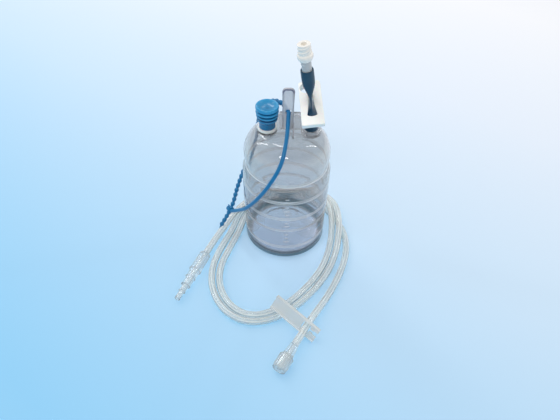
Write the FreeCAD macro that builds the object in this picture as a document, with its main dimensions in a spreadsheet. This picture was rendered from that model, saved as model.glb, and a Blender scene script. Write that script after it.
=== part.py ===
import FreeCAD, Part

import math
import os
import types

import Sketcher

# Wound drainage bottle, in millimetres.
# The origin is the centre of the bottle's foot on the table, +Z is up and -Y is the front.

# Sizes of every piece, one named value each
SIZES = {
    # Bottle wall and foot
    "bottle_radius": 37.5,
    "bottle_wall": 1.2,
    "lower_radius": 36.7,
    "heel_radius": 3.0,
    # Heights of the rings moulded round the bottle
    "low_bead_height": 14.9,
    "step_bead_height": 36.4,
    "middle_bead_height": 51.0,
    "high_bead_height": 69.6,
    "bead_half_height": 0.8,
    "bead_radius": 1.0,
    "step_height": 3.6,
    # Groove, shoulder and flat top
    "wall_top_height": 80.0,
    "groove_height": 86.0,
    "groove_radius": 35.0,
    "lower_lip_radius": 9.0,
    "upper_lip_radius": 22.0,
    "bulge_height": 95.0,
    "bulge_radius": 36.2,
    "shoulder_height": 111.0,
    "shoulder_radius": 30.7,
    "shoulder_lower_curve": 32.0,
    "shoulder_upper_curve": 20.0,
    "plateau_height": 118.0,
    "plateau_radius": 20.0,
    # Necks
    "bellows_neck_offset": 16.4,
    "sleeve_neck_offset": 18.7,
    "neck_boss_radius": 8.0,
    "neck_boss_depth": 10.0,
    "sleeve_boss_drop": 0.8,
    "bellows_stub_radius": 4.6,
    "bellows_stub_height": 8.0,
    "bellows_stub_bore": 2.8,
    "sleeve_seat_radius": 6.6,
    "sleeve_seat_height": 1.8,
    "sleeve_stub_radius": 4.2,
    "sleeve_stub_height": 10.0,
    "sleeve_stub_bore": 3.0,
    # Hanger tab with its webs and cross fin
    "tab_width": 9.1,
    "tab_centre": 0.35,
    "tab_thickness": 2.0,
    "tab_top": 155.4,
    "tab_corner": 3.0,
    "tab_hole_height": 134.0,
    "tab_hole_radius": 2.5,
    "web_top": 134.0,
    "web_thickness": 1.3,
    "bellows_web_reach": 6.9,
    "sleeve_web_reach": 11.5,
    "fin_offset": 4.3,
    "fin_reach": 13.0,
    "fin_rise": 5.0,
    # Collar ring and bellows
    "collar_radius": 8.0,
    "collar_thickness": 2.1,
    "collar_chamfer": 0.5,
    "fit_clearance": 0.05,
    "bellows_stem_radius": 6.5,
    "bellows_stem_height": 6.6,
    "bellows_low_fold_radius": 8.0,
    "bellows_middle_fold_radius": 8.5,
    "bellows_high_fold_radius": 9.0,
    "bellows_waist_radius": 6.9,
    "bellows_fold_pitch": 3.0,
    "bellows_groove_radius": 7.4,
    "bellows_groove_height": 2.0,
    "bellows_disc_radius": 9.05,
    "bellows_disc_thickness": 2.2,
    "bellows_dish_radius": 2.2,
    "bellows_dish_depth": 1.0,
    "bellows_wall": 1.1,
    # Slide clamp on the sleeve
    "clamp_width": 17.2,
    "clamp_front_reach": 28.4,
    "clamp_back_reach": 18.3,
    "clamp_plate": 2.0,
    "clamp_depth": 5.6,
    "clamp_side": 1.3,
    "clamp_crown": 90.0,
    "clamp_corner": 2.2,
    "clamp_hole_radius": 6.9,
    "clamp_hole_offset": 9.5,
    "clamp_slot_width": 3.0,
    "clamp_flare_width": 7.8,
    "clamp_flare_reach": 18.5,
    "clamp_flare_round": 12.0,
    "clamp_waist_x": 16.8,
    "clamp_waist_y": -1.0,
    "clamp_waist_height": 147.1,
    "clamp_tilt": 10.2,
    "clamp_roll": 7.4,
    "clamp_yaw": 3.5,
    # Sleeve, pinched in the clamp's slot
    "sleeve_radius": 5.55,
    "sleeve_top_radius": 4.95,
    "sleeve_pinch_half": 1.2,
    "sleeve_pinch_length": 14.2,
    "sleeve_pinch_rise": 2.4,
    "sleeve_straight": 9.0,
    "sleeve_upper_length": 27.0,
    "sleeve_socket_depth": 12.0,
    # Port tube and port connector on the sleeve's upper axis
    "port_lean_left": 0.163,
    "port_lean_front": 0.10,
    "port_tube_radius": 3.8,
    "port_tube_bore": 2.6,
    "port_tube_depth": 10.0,
    "port_tube_length": 22.5,
    "port_socket_depth": 4.0,
    "port_skirt_radius": 4.9,
    "port_flange_radius": 5.7,
    "port_flange_height": 4.6,
    "port_barrel_radius": 3.9,
    "port_barrel_length": 12.8,
    "port_thread_radius": 4.5,
    "port_thread_width": 1.3,
    "port_bore_radius": 2.1,
    "port_bore_depth": 8.0,
    # Strap
    "strap_radius": 1.6,
    "strap_neck_radius": 1.1,
    "strap_bead_radius": 2.1,
    "strap_bead_pitch": 4.5,
    "strap_eye_bore": 2.7,
    "strap_eye_radius": 4.2,
    "strap_eye_thickness": 2.4,
    "strap_tip_length": 5.0,
    # Connecting line
    "line_diameter": 6.2,
    "coil_turns_width": 12.6,
    # Stepped connector at the inlet end
    "step_barrel_radius": 5.15,
    "step_barrel_end_radius": 5.5,
    "step_barrel_length": 20.0,
    "step_rim_length": 2.0,
    "step_first_radius": 4.35,
    "step_first_length": 8.0,
    "step_second_radius": 3.85,
    "step_second_length": 8.0,
    "step_third_radius": 2.8,
    "step_third_length": 6.0,
    "step_tip_radius": 2.3,
    "step_tip_length": 8.0,
    "step_flare": 0.35,
    "step_bore_radius": 1.5,
    # Lock connector at the outlet end
    "luer_socket_start_radius": 3.5,
    "luer_socket_end_radius": 4.5,
    "luer_socket_length": 10.0,
    "luer_neck_radius": 3.0,
    "luer_neck_length": 2.2,
    "luer_flange_radius": 3.5,
    "luer_flange_length": 1.0,
    "luer_cone_length": 10.0,
    "luer_cone_start_radius": 2.25,
    "luer_cone_end_radius": 1.95,
    "luer_bore_radius": 1.2,
    "luer_rib_count": 4,
    "luer_rib_height": 0.9,
    "luer_rib_thickness": 1.0,
    "nut_radius": 5.8,
    "nut_mouth_radius": 5.6,
    "nut_cavity_radius": 4.0,
    "nut_length": 13.6,
    "nut_back_wall": 1.6,
    "nut_running_gap": 0.1,
    "nut_rib_count": 12,
    "nut_rib_radius": 0.5,
    # Slide clamp on the line
    "line_clamp_length": 44.0,
    "line_clamp_width": 12.4,
    "line_clamp_plate": 1.6,
    "line_clamp_rim": 1.1,
    "line_clamp_rim_height": 1.7,
    "line_clamp_hole_half": 3.9,
    "line_clamp_hole_stretch": 1.2,
    "line_clamp_slot_width": 2.4,
    "line_clamp_right_reach": 11.0,
    "line_clamp_notch_width": 4.0,
    "line_clamp_notch_depth": 4.0,
    "line_clamp_lean": 30.0,
    "line_clamp_heading": 37.5,
    "line_clamp_slope": 11.9,
    "line_clamp_x": 18.0,
    "line_clamp_y": -114.0,
    "line_clamp_height": 8.05,
}


class Size:
    """A length that knows both its number and the sheet expression that gives it."""

    def __init__(self, number, text):
        self.number = number
        self.text = text

    def __add__(self, other):
        other = as_size(other)
        return Size(self.number + other.number, f"({self.text} + {other.text})")

    def __sub__(self, other):
        other = as_size(other)
        return Size(self.number - other.number, f"({self.text} - {other.text})")

    def __mul__(self, factor):
        return Size(self.number * factor, f"({self.text} * {factor})")

    def __neg__(self):
        return Size(-self.number, f"(0 - {self.text})")


def as_size(value):
    """Turn a plain number into a Size."""
    return value if isinstance(value, Size) else Size(value, str(value))


doc = FreeCAD.newDocument("wound_drainage_bottle")
sheet = doc.addObject("Spreadsheet::Sheet", "sizes")
for row, (name, number) in enumerate(SIZES.items(), start=1):
    sheet.set(f"A{row}", name)
    sheet.set(f"B{row}", str(number))
    sheet.setAlias(f"B{row}", name)
doc.recompute()

size = types.SimpleNamespace(**{name: Size(number, f"sizes.{name}") for name, number in SIZES.items()})
ZERO = Size(0.0, "0")
parts = []


# Helpers that draw sketches and features bound to the sheet

def bind(feature, path, value):
    """Set a property from a Size and keep it bound to the sheet."""
    feature.setExpression(path, as_size(value).text)


def new_body(name):
    """Start the body of one piece, whose label names its file."""
    body = doc.addObject("PartDesign::Body", name)
    body.Label = name
    parts.append(body)
    return body


def place(body, base, rotation=None):
    """Put a body at a base point, given as three sizes, turned by a rotation."""
    values = [as_size(value) for value in base]
    body.Placement = FreeCAD.Placement(
        FreeCAD.Vector(*[value.number for value in values]), rotation or FreeCAD.Rotation())
    for axis, value in zip("xyz", values):
        bind(body, f"Placement.Base.{axis}", value)


def new_sketch(body, plane, name, offset=None):
    """Start a sketch on one of the body's own planes, raised by an offset."""
    sketch = body.newObject("Sketcher::SketchObject", name)
    support = next(item for item in body.Origin.OriginFeatures if item.Role == plane)
    sketch.AttachmentSupport = (support, "")
    sketch.MapMode = "FlatFace"
    if offset is not None:
        bind(sketch, "AttachmentOffset.Base.z", offset)
    return sketch


def hold_point(sketch, geometry, position, x, y):
    """Hold a sketch point at two bound distances from the sketch's origin."""
    for kind, value in (("DistanceX", as_size(x)), ("DistanceY", as_size(y))):
        index = sketch.addConstraint(
            Sketcher.Constraint(kind, -1, 1, geometry, position, value.number))
        sketch.setExpression(f"Constraints[{index}]", value.text)


def arc_between(start, end, radius, turn):
    """Give the short arc of a radius between two points; turn is 1 for anticlockwise travel."""
    middle = (start + end) * 0.5
    chord = end - start
    rise = math.sqrt(max(radius ** 2 - chord.Length ** 2 / 4, 0.0))
    side = FreeCAD.Vector(-chord.y, chord.x, 0).normalize() * rise * turn
    centre = middle + side
    first, last = (start, end) if turn > 0 else (end, start)
    angles = [math.atan2(point.y - centre.y, point.x - centre.x) for point in (first, last)]
    circle = Part.Circle(centre, FreeCAD.Vector(0, 0, 1), radius)
    return Part.ArcOfCircle(circle, angles[0], angles[1])


def draw_outline(sketch, points, arcs=None):
    """Draw a closed outline through bound points.

    arcs gives, by the index of the point that an edge starts from, its radius and its turn:
    1 travels anticlockwise and -1 clockwise.
    """
    arcs = arcs or {}
    vectors = [FreeCAD.Vector(as_size(x).number, as_size(y).number, 0) for x, y in points]
    count = len(points)
    ends = []
    for index in range(count):
        start, end = vectors[index], vectors[(index + 1) % count]
        if index in arcs:
            radius, turn = arcs[index]
            edge = sketch.addGeometry(arc_between(start, end, as_size(radius).number, turn))
            ends.append((edge, 1, 2) if turn > 0 else (edge, 2, 1))
        else:
            ends.append((sketch.addGeometry(Part.LineSegment(start, end)), 1, 2))
    for index in range(count):
        edge, first, last = ends[index]
        following, following_first, _ = ends[(index + 1) % count]
        sketch.addConstraint(Sketcher.Constraint("Coincident", edge, last, following, following_first))
        hold_point(sketch, edge, first, *points[index])
        if index not in arcs:
            continue
        # A half circle is already held by its two ends
        radius = as_size(arcs[index][0])
        chord = vectors[index].distanceToPoint(vectors[(index + 1) % count])
        if chord < 2 * radius.number - 0.001:
            constraint = sketch.addConstraint(Sketcher.Constraint("Radius", edge, radius.number))
            sketch.setExpression(f"Constraints[{constraint}]", radius.text)


def draw_circle(sketch, x, y, radius):
    """Draw a circle with a bound centre and radius."""
    x, y, radius = as_size(x), as_size(y), as_size(radius)
    centre = FreeCAD.Vector(x.number, y.number, 0)
    edge = sketch.addGeometry(Part.Circle(centre, FreeCAD.Vector(0, 0, 1), radius.number))
    hold_point(sketch, edge, 3, x, y)
    index = sketch.addConstraint(Sketcher.Constraint("Radius", edge, radius.number))
    sketch.setExpression(f"Constraints[{index}]", radius.text)


def turned(body, name, points, arcs=None, kind="PartDesign::Revolution"):
    """Turn an outline of radius and height pairs about the body's Z axis."""
    sketch = new_sketch(body, "XZ_Plane", f"{name}_outline")
    draw_outline(sketch, points, arcs)
    feature = body.newObject(kind, name)
    feature.Profile = sketch
    feature.ReferenceAxis = (sketch, ["V_Axis"])
    feature.Angle = 360
    return feature


def padded(body, sketch, name, length, midplane=False, reversed_way=False):
    """Pad a sketch by a bound length."""
    feature = body.newObject("PartDesign::Pad", name)
    feature.Profile = sketch
    feature.Length = as_size(length).number
    bind(feature, "Length", length)
    feature.Midplane = midplane
    feature.Reversed = reversed_way
    return feature


def pocketed(body, sketch, name, length, midplane=False, reversed_way=False):
    """Cut a sketch into a body by a bound length, and check that it removes something."""
    doc.recompute()
    before = body.Tip.Shape.Volume
    feature = body.newObject("PartDesign::Pocket", name)
    feature.Profile = sketch
    feature.Length = as_size(length).number
    bind(feature, "Length", length)
    feature.Midplane = midplane
    feature.Reversed = reversed_way
    doc.recompute()
    if not feature.Shape.Volume < before:
        raise ValueError(f"{name} removes nothing")
    return feature


def around(body, feature, count, name):
    """Repeat a feature evenly round the body's Z axis."""
    pattern = body.newObject("PartDesign::PolarPattern", name)
    pattern.Originals = [feature]
    pattern.Axis = (next(item for item in body.Origin.OriginFeatures if item.Role == "Z_Axis"), [""])
    pattern.Angle = 360
    pattern.Occurrences = int(as_size(count).number)
    bind(pattern, "Occurrences", count)
    body.Tip = pattern
    return pattern


def free_piece(name, shape):
    """Keep a shape that follows a route as a piece of its own."""
    feature = doc.addObject("Part::Feature", name)
    feature.Label = name
    feature.Shape = shape
    parts.append(feature)
    return feature


def rounded_route(points, name):
    """Join straight runs by tangent arcs, each as large as its two runs allow."""
    corners = [FreeCAD.Vector(*point) for point in points]
    edges = []
    radii = []
    last = corners[0]
    for before, corner, after in zip(corners, corners[1:], corners[2:]):
        arriving = (corner - before)
        leaving = (after - corner)
        turn = arriving.getAngle(leaving)
        setback = 0.45 * min(arriving.Length, leaving.Length)
        arriving.normalize()
        leaving.normalize()
        start = corner - arriving * setback
        end = corner + leaving * setback
        radius = setback / math.tan(turn / 2)
        inward = (leaving - arriving).normalize()
        middle = corner + inward * (radius / math.cos(turn / 2) - radius)
        edges.append(Part.LineSegment(last, start).toShape())
        edges.append(Part.Arc(start, middle, end).toShape())
        radii.append(round(radius, 1))
        last = end
    edges.append(Part.LineSegment(last, corners[-1]).toShape())
    print(name, "radii", radii)
    return Part.Wire(edges)


def round_tube(route, radius, name):
    """Carry a circle along a route, and compare its volume with section times length."""
    start = route.Edges[0]
    direction = start.tangentAt(start.FirstParameter)
    section = Part.Wire([Part.makeCircle(radius, start.valueAt(start.FirstParameter), direction)])
    tube = route.makePipe(Part.Face(section))
    expected = math.pi * radius ** 2 * route.Length
    print(name, "length", round(route.Length, 1), "volume ratio", round(tube.Volume / expected, 4))
    return tube


# Bottle: one clear moulding, hollow, with two necks, a hanger tab, webs and a cross fin

def build_bottle():
    """Turn the bottle's outside, add what stands on its top, then hollow it."""
    body = new_body("bottle")
    half = size.bead_half_height
    points = [
        (ZERO, ZERO),
        (size.lower_radius - size.heel_radius, ZERO),
        (size.lower_radius, size.heel_radius),
        (size.lower_radius, size.low_bead_height - half),
        (size.lower_radius, size.low_bead_height + half),
        (size.lower_radius, size.step_bead_height - half),
        (size.lower_radius, size.step_bead_height + half),
        (size.bottle_radius, size.step_bead_height + size.step_height),
        (size.bottle_radius, size.middle_bead_height - half),
        (size.bottle_radius, size.middle_bead_height + half),
        (size.bottle_radius, size.high_bead_height - half),
        (size.bottle_radius, size.high_bead_height + half),
        (size.bottle_radius, size.wall_top_height),
        (size.groove_radius, size.groove_height),
        (size.bulge_radius, size.bulge_height),
        (size.shoulder_radius, size.shoulder_height),
        (size.plateau_radius, size.plateau_height),
        (ZERO, size.plateau_height),
    ]
    arcs = {
        1: (size.heel_radius, 1),
        3: (size.bead_radius, 1),
        5: (size.bead_radius, 1),
        8: (size.bead_radius, 1),
        10: (size.bead_radius, 1),
        12: (size.lower_lip_radius, 1),
        13: (size.upper_lip_radius, 1),
        14: (size.shoulder_lower_curve, 1),
        15: (size.shoulder_upper_curve, 1),
    }
    turned(body, "bottle_outside", points, arcs)

    boss_top = {"bellows": size.plateau_height, "sleeve": size.plateau_height - size.sleeve_boss_drop}
    offset = {"bellows": -size.bellows_neck_offset, "sleeve": size.sleeve_neck_offset}
    for side in ("bellows", "sleeve"):
        sketch = new_sketch(body, "XY_Plane", f"{side}_boss_circle", boss_top[side])
        draw_circle(sketch, offset[side], ZERO, size.neck_boss_radius)
        padded(body, sketch, f"{side}_boss", size.neck_boss_depth, reversed_way=True)

    sketch = new_sketch(body, "XY_Plane", "bellows_stub_circle", boss_top["bellows"])
    draw_circle(sketch, offset["bellows"], ZERO, size.bellows_stub_radius)
    padded(body, sketch, "bellows_stub", size.bellows_stub_height)
    sketch = new_sketch(body, "XY_Plane", "sleeve_seat_circle", boss_top["sleeve"])
    draw_circle(sketch, offset["sleeve"], ZERO, size.sleeve_seat_radius)
    padded(body, sketch, "sleeve_seat", size.sleeve_seat_height)
    seat_top = boss_top["sleeve"] + size.sleeve_seat_height
    sketch = new_sketch(body, "XY_Plane", "sleeve_stub_circle", seat_top)
    draw_circle(sketch, offset["sleeve"], ZERO, size.sleeve_stub_radius)
    padded(body, sketch, "sleeve_stub", size.sleeve_stub_height)

    root = size.plateau_height - size.bottle_wall * 0.5
    left = size.tab_centre - size.tab_width * 0.5
    right = size.tab_centre + size.tab_width * 0.5
    sketch = new_sketch(body, "XZ_Plane", "tab_outline")
    draw_outline(sketch, [
        (left, root),
        (right, root),
        (right, size.tab_top - size.tab_corner),
        (right - size.tab_corner, size.tab_top),
        (left + size.tab_corner, size.tab_top),
        (left, size.tab_top - size.tab_corner),
    ], {2: (size.tab_corner, 1), 4: (size.tab_corner, 1)})
    padded(body, sketch, "hanger_tab", size.tab_thickness, midplane=True)

    sketch = new_sketch(body, "XZ_Plane", "web_outline")
    draw_outline(sketch, [
        (-size.bellows_web_reach, root),
        (size.sleeve_web_reach, root),
        (size.sleeve_web_reach, size.web_top - size.tab_corner),
        (size.sleeve_web_reach - size.tab_corner, size.web_top),
        (-size.bellows_web_reach, size.web_top),
    ], {2: (size.tab_corner, 1)})
    padded(body, sketch, "webs", size.web_thickness, midplane=True)

    sketch = new_sketch(body, "YZ_Plane", "fin_outline", size.fin_offset)
    fin_top = size.plateau_height + size.fin_rise
    draw_outline(sketch, [
        (-size.fin_reach, root),
        (size.fin_reach, root),
        (size.fin_reach, size.plateau_height + 1),
        (size.tab_thickness, fin_top),
        (-size.tab_thickness, fin_top),
        (-size.fin_reach, size.plateau_height + 1),
    ])
    padded(body, sketch, "cross_fin", size.web_thickness, midplane=True)

    wall = size.bottle_wall
    inside = [
        (ZERO, wall),
        (size.lower_radius - size.heel_radius, wall),
        (size.lower_radius - wall, size.heel_radius),
        (size.lower_radius - wall, size.step_bead_height),
        (size.bottle_radius - wall, size.step_bead_height + size.step_height),
        (size.bottle_radius - wall, size.wall_top_height),
        (size.groove_radius - wall, size.groove_height),
        (size.bulge_radius - wall, size.bulge_height),
        (size.shoulder_radius - wall * 0.8, size.shoulder_height - wall * 0.6),
        (size.plateau_radius - wall * 0.4, size.plateau_height - wall),
        (ZERO, size.plateau_height - wall),
    ]
    inner_arcs = {
        1: (size.heel_radius - wall, 1),
        5: (size.lower_lip_radius, 1),
        6: (size.upper_lip_radius, 1),
        7: (size.shoulder_lower_curve - wall, 1),
        8: (size.shoulder_upper_curve - wall, 1),
    }
    turned(body, "bottle_inside", inside, inner_arcs, "PartDesign::Groove")

    stub_top = {"bellows": size.plateau_height + size.bellows_stub_height,
                "sleeve": seat_top + size.sleeve_stub_height}
    bore = {"bellows": size.bellows_stub_bore, "sleeve": size.sleeve_stub_bore}
    for side in ("bellows", "sleeve"):
        sketch = new_sketch(body, "XY_Plane", f"{side}_bore_circle", stub_top[side])
        draw_circle(sketch, offset[side], ZERO, bore[side])
        depth = stub_top[side] - size.plateau_height + size.neck_boss_depth + wall
        pocketed(body, sketch, f"{side}_bore", depth)

    sketch = new_sketch(body, "XZ_Plane", "tab_hole_circle")
    draw_circle(sketch, size.tab_centre, size.tab_hole_height, size.tab_hole_radius)
    pocketed(body, sketch, "tab_hole", size.tab_thickness * 2, midplane=True)
    return body


# Collar ring and bellows on the left neck

def build_collar_ring():
    """Turn the white ring that lies under the bellows."""
    body = new_body("collar_ring")
    bore = size.bellows_stub_radius + size.fit_clearance
    turned(body, "ring", [
        (bore, ZERO),
        (size.collar_radius, ZERO),
        (size.collar_radius, size.collar_thickness - size.collar_chamfer),
        (size.collar_radius - size.collar_chamfer, size.collar_thickness),
        (bore, size.collar_thickness),
    ])
    place(body, (-size.bellows_neck_offset, ZERO, size.plateau_height))


def build_bellows():
    """Turn the folded rubber bellows, open at its foot and closed by its dished disc."""
    body = new_body("bellows")
    stem = size.bellows_stem_height
    pitch = size.bellows_fold_pitch
    folds = stem + pitch * 3
    disc_foot = folds + size.bellows_groove_height
    disc_top = disc_foot + size.bellows_disc_thickness
    wall = size.bellows_wall
    bore = size.bellows_stub_radius + size.fit_clearance
    edge = size.bellows_disc_thickness * 0.25
    outer = [
        (bore, ZERO),
        (size.bellows_stem_radius, ZERO),
        (size.bellows_stem_radius, stem),
        (size.bellows_low_fold_radius, stem + pitch * 0.5),
        (size.bellows_waist_radius, stem + pitch),
        (size.bellows_middle_fold_radius, stem + pitch * 1.5),
        (size.bellows_waist_radius, stem + pitch * 2),
        (size.bellows_high_fold_radius, stem + pitch * 2.5),
        (size.bellows_groove_radius, folds + pitch * 0.2),
        (size.bellows_groove_radius, disc_foot - pitch * 0.1),
        (size.bellows_disc_radius - edge, disc_foot),
        (size.bellows_disc_radius, disc_foot + edge),
        (size.bellows_disc_radius, disc_top - edge),
        (size.bellows_disc_radius - edge, disc_top),
        (size.bellows_dish_radius, disc_top - size.bellows_dish_depth),
        (ZERO, disc_top - size.bellows_dish_depth),
        (ZERO, disc_foot - wall),
        (size.bellows_groove_radius - wall, disc_foot - wall),
        (size.bellows_groove_radius - wall, folds),
        (size.bellows_high_fold_radius - wall * 1.6, stem + pitch * 2.5),
        (size.bellows_waist_radius - wall, stem + pitch * 2),
        (size.bellows_middle_fold_radius - wall * 1.6, stem + pitch * 1.5),
        (size.bellows_waist_radius - wall, stem + pitch),
        (size.bellows_low_fold_radius - wall * 1.6, stem + pitch * 0.5),
        (bore, stem),
    ]
    arcs = {10: (edge, 1), 12: (edge, 1)}
    turned(body, "folded_wall", outer, arcs)
    place(body, (-size.bellows_neck_offset, ZERO, size.plateau_height + size.collar_thickness))


# Slide clamp: a shallow channel with a keyhole slot, held askew on the pinched sleeve

def clamp_rotation():
    """Give the clamp's turn: yaw about Z, then tilt about X, then roll about Y."""
    yaw = FreeCAD.Rotation(FreeCAD.Vector(0, 0, 1), SIZES["clamp_yaw"])
    tilt = FreeCAD.Rotation(FreeCAD.Vector(1, 0, 0), SIZES["clamp_tilt"])
    roll = FreeCAD.Rotation(FreeCAD.Vector(0, 1, 0), -SIZES["clamp_roll"])
    return yaw * tilt * roll


def build_slide_clamp():
    """Pad the crowned channel along its length and cut the keyhole through its plate."""
    body = new_body("slide_clamp")
    half = size.clamp_width * 0.5
    inner = half - size.clamp_side
    foot = size.clamp_plate * 0.5 - size.clamp_depth
    top = size.clamp_plate * 0.5
    under = -size.clamp_plate * 0.5
    sketch = new_sketch(body, "XZ_Plane", "channel_outline", size.clamp_front_reach)
    draw_outline(sketch, [
        (-half, foot),
        (-inner, foot),
        (-inner, under),
        (inner, under),
        (inner, foot),
        (half, foot),
        (half, top),
        (-half, top),
    ], {2: (size.clamp_crown, -1), 6: (size.clamp_crown, 1)})
    padded(body, sketch, "channel", size.clamp_front_reach + size.clamp_back_reach, reversed_way=True)

    throat = size.clamp_slot_width * 0.5
    flare = size.clamp_flare_width * 0.5
    sketch = new_sketch(body, "XY_Plane", "slot_outline", size.clamp_depth)
    draw_outline(sketch, [
        (-throat, ZERO),
        (-flare, -size.clamp_flare_reach),
        (flare, -size.clamp_flare_reach),
        (throat, ZERO),
        (throat, size.clamp_hole_offset),
        (-throat, size.clamp_hole_offset),
    ], {1: (size.clamp_flare_round, 1)})
    pocketed(body, sketch, "slot", size.clamp_depth * 2)
    sketch = new_sketch(body, "XY_Plane", "hole_circle", size.clamp_depth)
    draw_circle(sketch, ZERO, size.clamp_hole_offset, size.clamp_hole_radius)
    pocketed(body, sketch, "hole", size.clamp_depth * 2)

    corner = size.clamp_corner
    sketch = new_sketch(body, "XY_Plane", "corner_outlines", size.clamp_depth)
    for across in (-1, 1):
        for along, reach in ((-1, size.clamp_front_reach), (1, size.clamp_back_reach)):
            side = half * across
            end = reach * along
            draw_outline(sketch, [
                (side, end),
                (side, end - corner * along),
                (side - corner * across, end),
            ], {1: (corner, across * along)})
    pocketed(body, sketch, "rounded_corners", size.clamp_depth * 2)
    place(body, (size.clamp_waist_x, size.clamp_waist_y, size.clamp_waist_height), clamp_rotation())


# Sleeve: a rubber tube pinched flat in the slot, with sockets for the neck and the port tube

def port_axis():
    """Give the upper axis of the sleeve: its start in the slot and its direction."""
    start = FreeCAD.Vector(SIZES["clamp_waist_x"], SIZES["clamp_waist_y"], SIZES["clamp_waist_height"])
    direction = FreeCAD.Vector(-SIZES["port_lean_left"], -SIZES["port_lean_front"], 1).normalize()
    return start, direction


def neck_seat():
    """Give the point where the sleeve's foot stands on its neck."""
    height = SIZES["plateau_height"] - SIZES["sleeve_boss_drop"] + SIZES["sleeve_seat_height"]
    return FreeCAD.Vector(SIZES["sleeve_neck_offset"], 0, height)


def oval(centre, direction, half_width, half_length):
    """Draw an oval across a direction, its long way along the clamp's slot."""
    along = clamp_rotation().multVec(FreeCAD.Vector(0, 1, 0))
    direction = FreeCAD.Vector(direction).normalize()
    long_way = (along - direction * along.dot(direction)).normalize()
    if half_length > half_width:
        outline = Part.Ellipse(FreeCAD.Vector(0, 0, 0), half_length, half_width)
    else:
        outline = Part.Circle(FreeCAD.Vector(0, 0, 0), FreeCAD.Vector(0, 0, 1), half_width)
    wire = Part.Wire([outline.toShape()])
    cross = direction.cross(long_way)
    matrix = FreeCAD.Matrix(
        long_way.x, cross.x, direction.x, centre.x,
        long_way.y, cross.y, direction.y, centre.y,
        long_way.z, cross.z, direction.z, centre.z,
        0, 0, 0, 1)
    wire.Placement = FreeCAD.Placement(matrix)
    return wire


def build_sleeve():
    """Loft the sleeve's two funnels, join them by the flat pinch and cut both sockets."""
    seat = neck_seat()
    waist, up = port_axis()
    normal = clamp_rotation().multVec(FreeCAD.Vector(0, 0, 1))
    rise = normal * SIZES["sleeve_pinch_rise"]
    pinch_half = SIZES["sleeve_pinch_half"]
    pinch_long = SIZES["sleeve_pinch_length"] / 2
    foot = waist - rise
    crown = waist + rise
    radius = SIZES["sleeve_radius"]
    top_radius = SIZES["sleeve_top_radius"]
    straight_top = seat + FreeCAD.Vector(0, 0, SIZES["sleeve_straight"])
    down = foot - straight_top

    def between(share):
        return straight_top + down * share

    lower = Part.makeLoft([
        oval(straight_top, FreeCAD.Vector(0, 0, 1), radius, radius),
        oval(between(0.35), down, radius * 0.9, radius * 1.07),
        oval(between(0.7), (down * 0.5).normalize() + normal, radius * 0.5, (radius + pinch_long) / 2 * 1.05),
        oval(foot, normal, pinch_half, pinch_long),
    ], True)
    base = Part.makeCylinder(radius, SIZES["sleeve_straight"], seat)
    pinch = Part.makeLoft([oval(foot, normal, pinch_half, pinch_long),
                           oval(crown, normal, pinch_half, pinch_long)], True, True)
    length = SIZES["sleeve_upper_length"]
    upper = Part.makeLoft([
        oval(crown, normal, pinch_half, pinch_long),
        oval(waist + up * length * 0.25, up + normal, top_radius * 0.55, (top_radius + pinch_long) / 2),
        oval(waist + up * length * 0.45, up, top_radius * 0.9, top_radius * 1.06),
        oval(waist + up * length * 0.62, up, top_radius, top_radius),
    ], True)
    mouth = Part.makeCylinder(top_radius, length * 0.38, waist + up * length * 0.62, up)
    shape = base.multiFuse([lower, pinch, upper, mouth])
    neck_radius = SIZES["sleeve_stub_radius"] + SIZES["fit_clearance"]
    neck_socket = Part.makeCylinder(neck_radius, SIZES["sleeve_stub_height"] + 0.5, seat)
    tube_radius = SIZES["port_tube_radius"] + SIZES["fit_clearance"]
    depth = SIZES["sleeve_socket_depth"]
    tube_socket = Part.makeCylinder(tube_radius, depth + 1, waist + up * (length - depth), up)
    free_piece("sleeve", shape.cut(neck_socket).cut(tube_socket))


# Port tube and port connector, on the sleeve's upper axis

def along_port(distance):
    """Give a placement on the port axis, a distance above the slot, with Z along the axis."""
    waist, up = port_axis()
    return waist + up * distance, FreeCAD.Rotation(FreeCAD.Vector(0, 0, 1), up)


def build_port_tube():
    """Turn the short grey tube that is pushed into the sleeve's top."""
    body = new_body("port_tube")
    turned(body, "tube", [
        (size.port_tube_bore, ZERO),
        (size.port_tube_radius, ZERO),
        (size.port_tube_radius, size.port_tube_length),
        (size.port_tube_bore, size.port_tube_length),
    ])
    base, rotation = along_port(SIZES["sleeve_upper_length"] - SIZES["port_tube_depth"])
    body.Placement = FreeCAD.Placement(base, rotation)


def build_port_connector():
    """Turn the female lock connector with its skirt, flange, barrel and thread ridges."""
    body = new_body("port_connector")
    socket = size.port_tube_radius + size.fit_clearance
    flange = size.port_flange_height
    end = size.port_barrel_length
    floor = end - size.port_bore_depth
    turned(body, "connector", [
        (socket, ZERO),
        (size.port_skirt_radius, ZERO),
        (size.port_flange_radius, flange * 0.6),
        (size.port_flange_radius, flange * 0.85),
        (size.port_barrel_radius, flange + 0.6),
        (size.port_barrel_radius, end),
        (size.port_bore_radius, end),
        (size.port_bore_radius, floor),
        (size.luer_bore_radius, floor),
        (size.luer_bore_radius, size.port_socket_depth),
        (socket, size.port_socket_depth),
    ])
    ridge = size.port_thread_width
    for number, height in enumerate((flange + ridge * 2, end - ridge * 0.6)):
        turned(body, f"thread_ridge_{number + 1}", [
            (size.port_barrel_radius - 0.3, height - ridge * 0.5),
            (size.port_thread_radius, height - ridge * 0.2),
            (size.port_thread_radius, height + ridge * 0.2),
            (size.port_barrel_radius - 0.3, height + ridge * 0.5),
        ])
    start = SIZES["sleeve_upper_length"] - SIZES["port_tube_depth"] + SIZES["port_tube_length"]
    base, rotation = along_port(start - SIZES["port_socket_depth"])
    body.Placement = FreeCAD.Placement(base, rotation)


# Strap: a plain round cord to the eye, and a beaded side that passes through it

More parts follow.
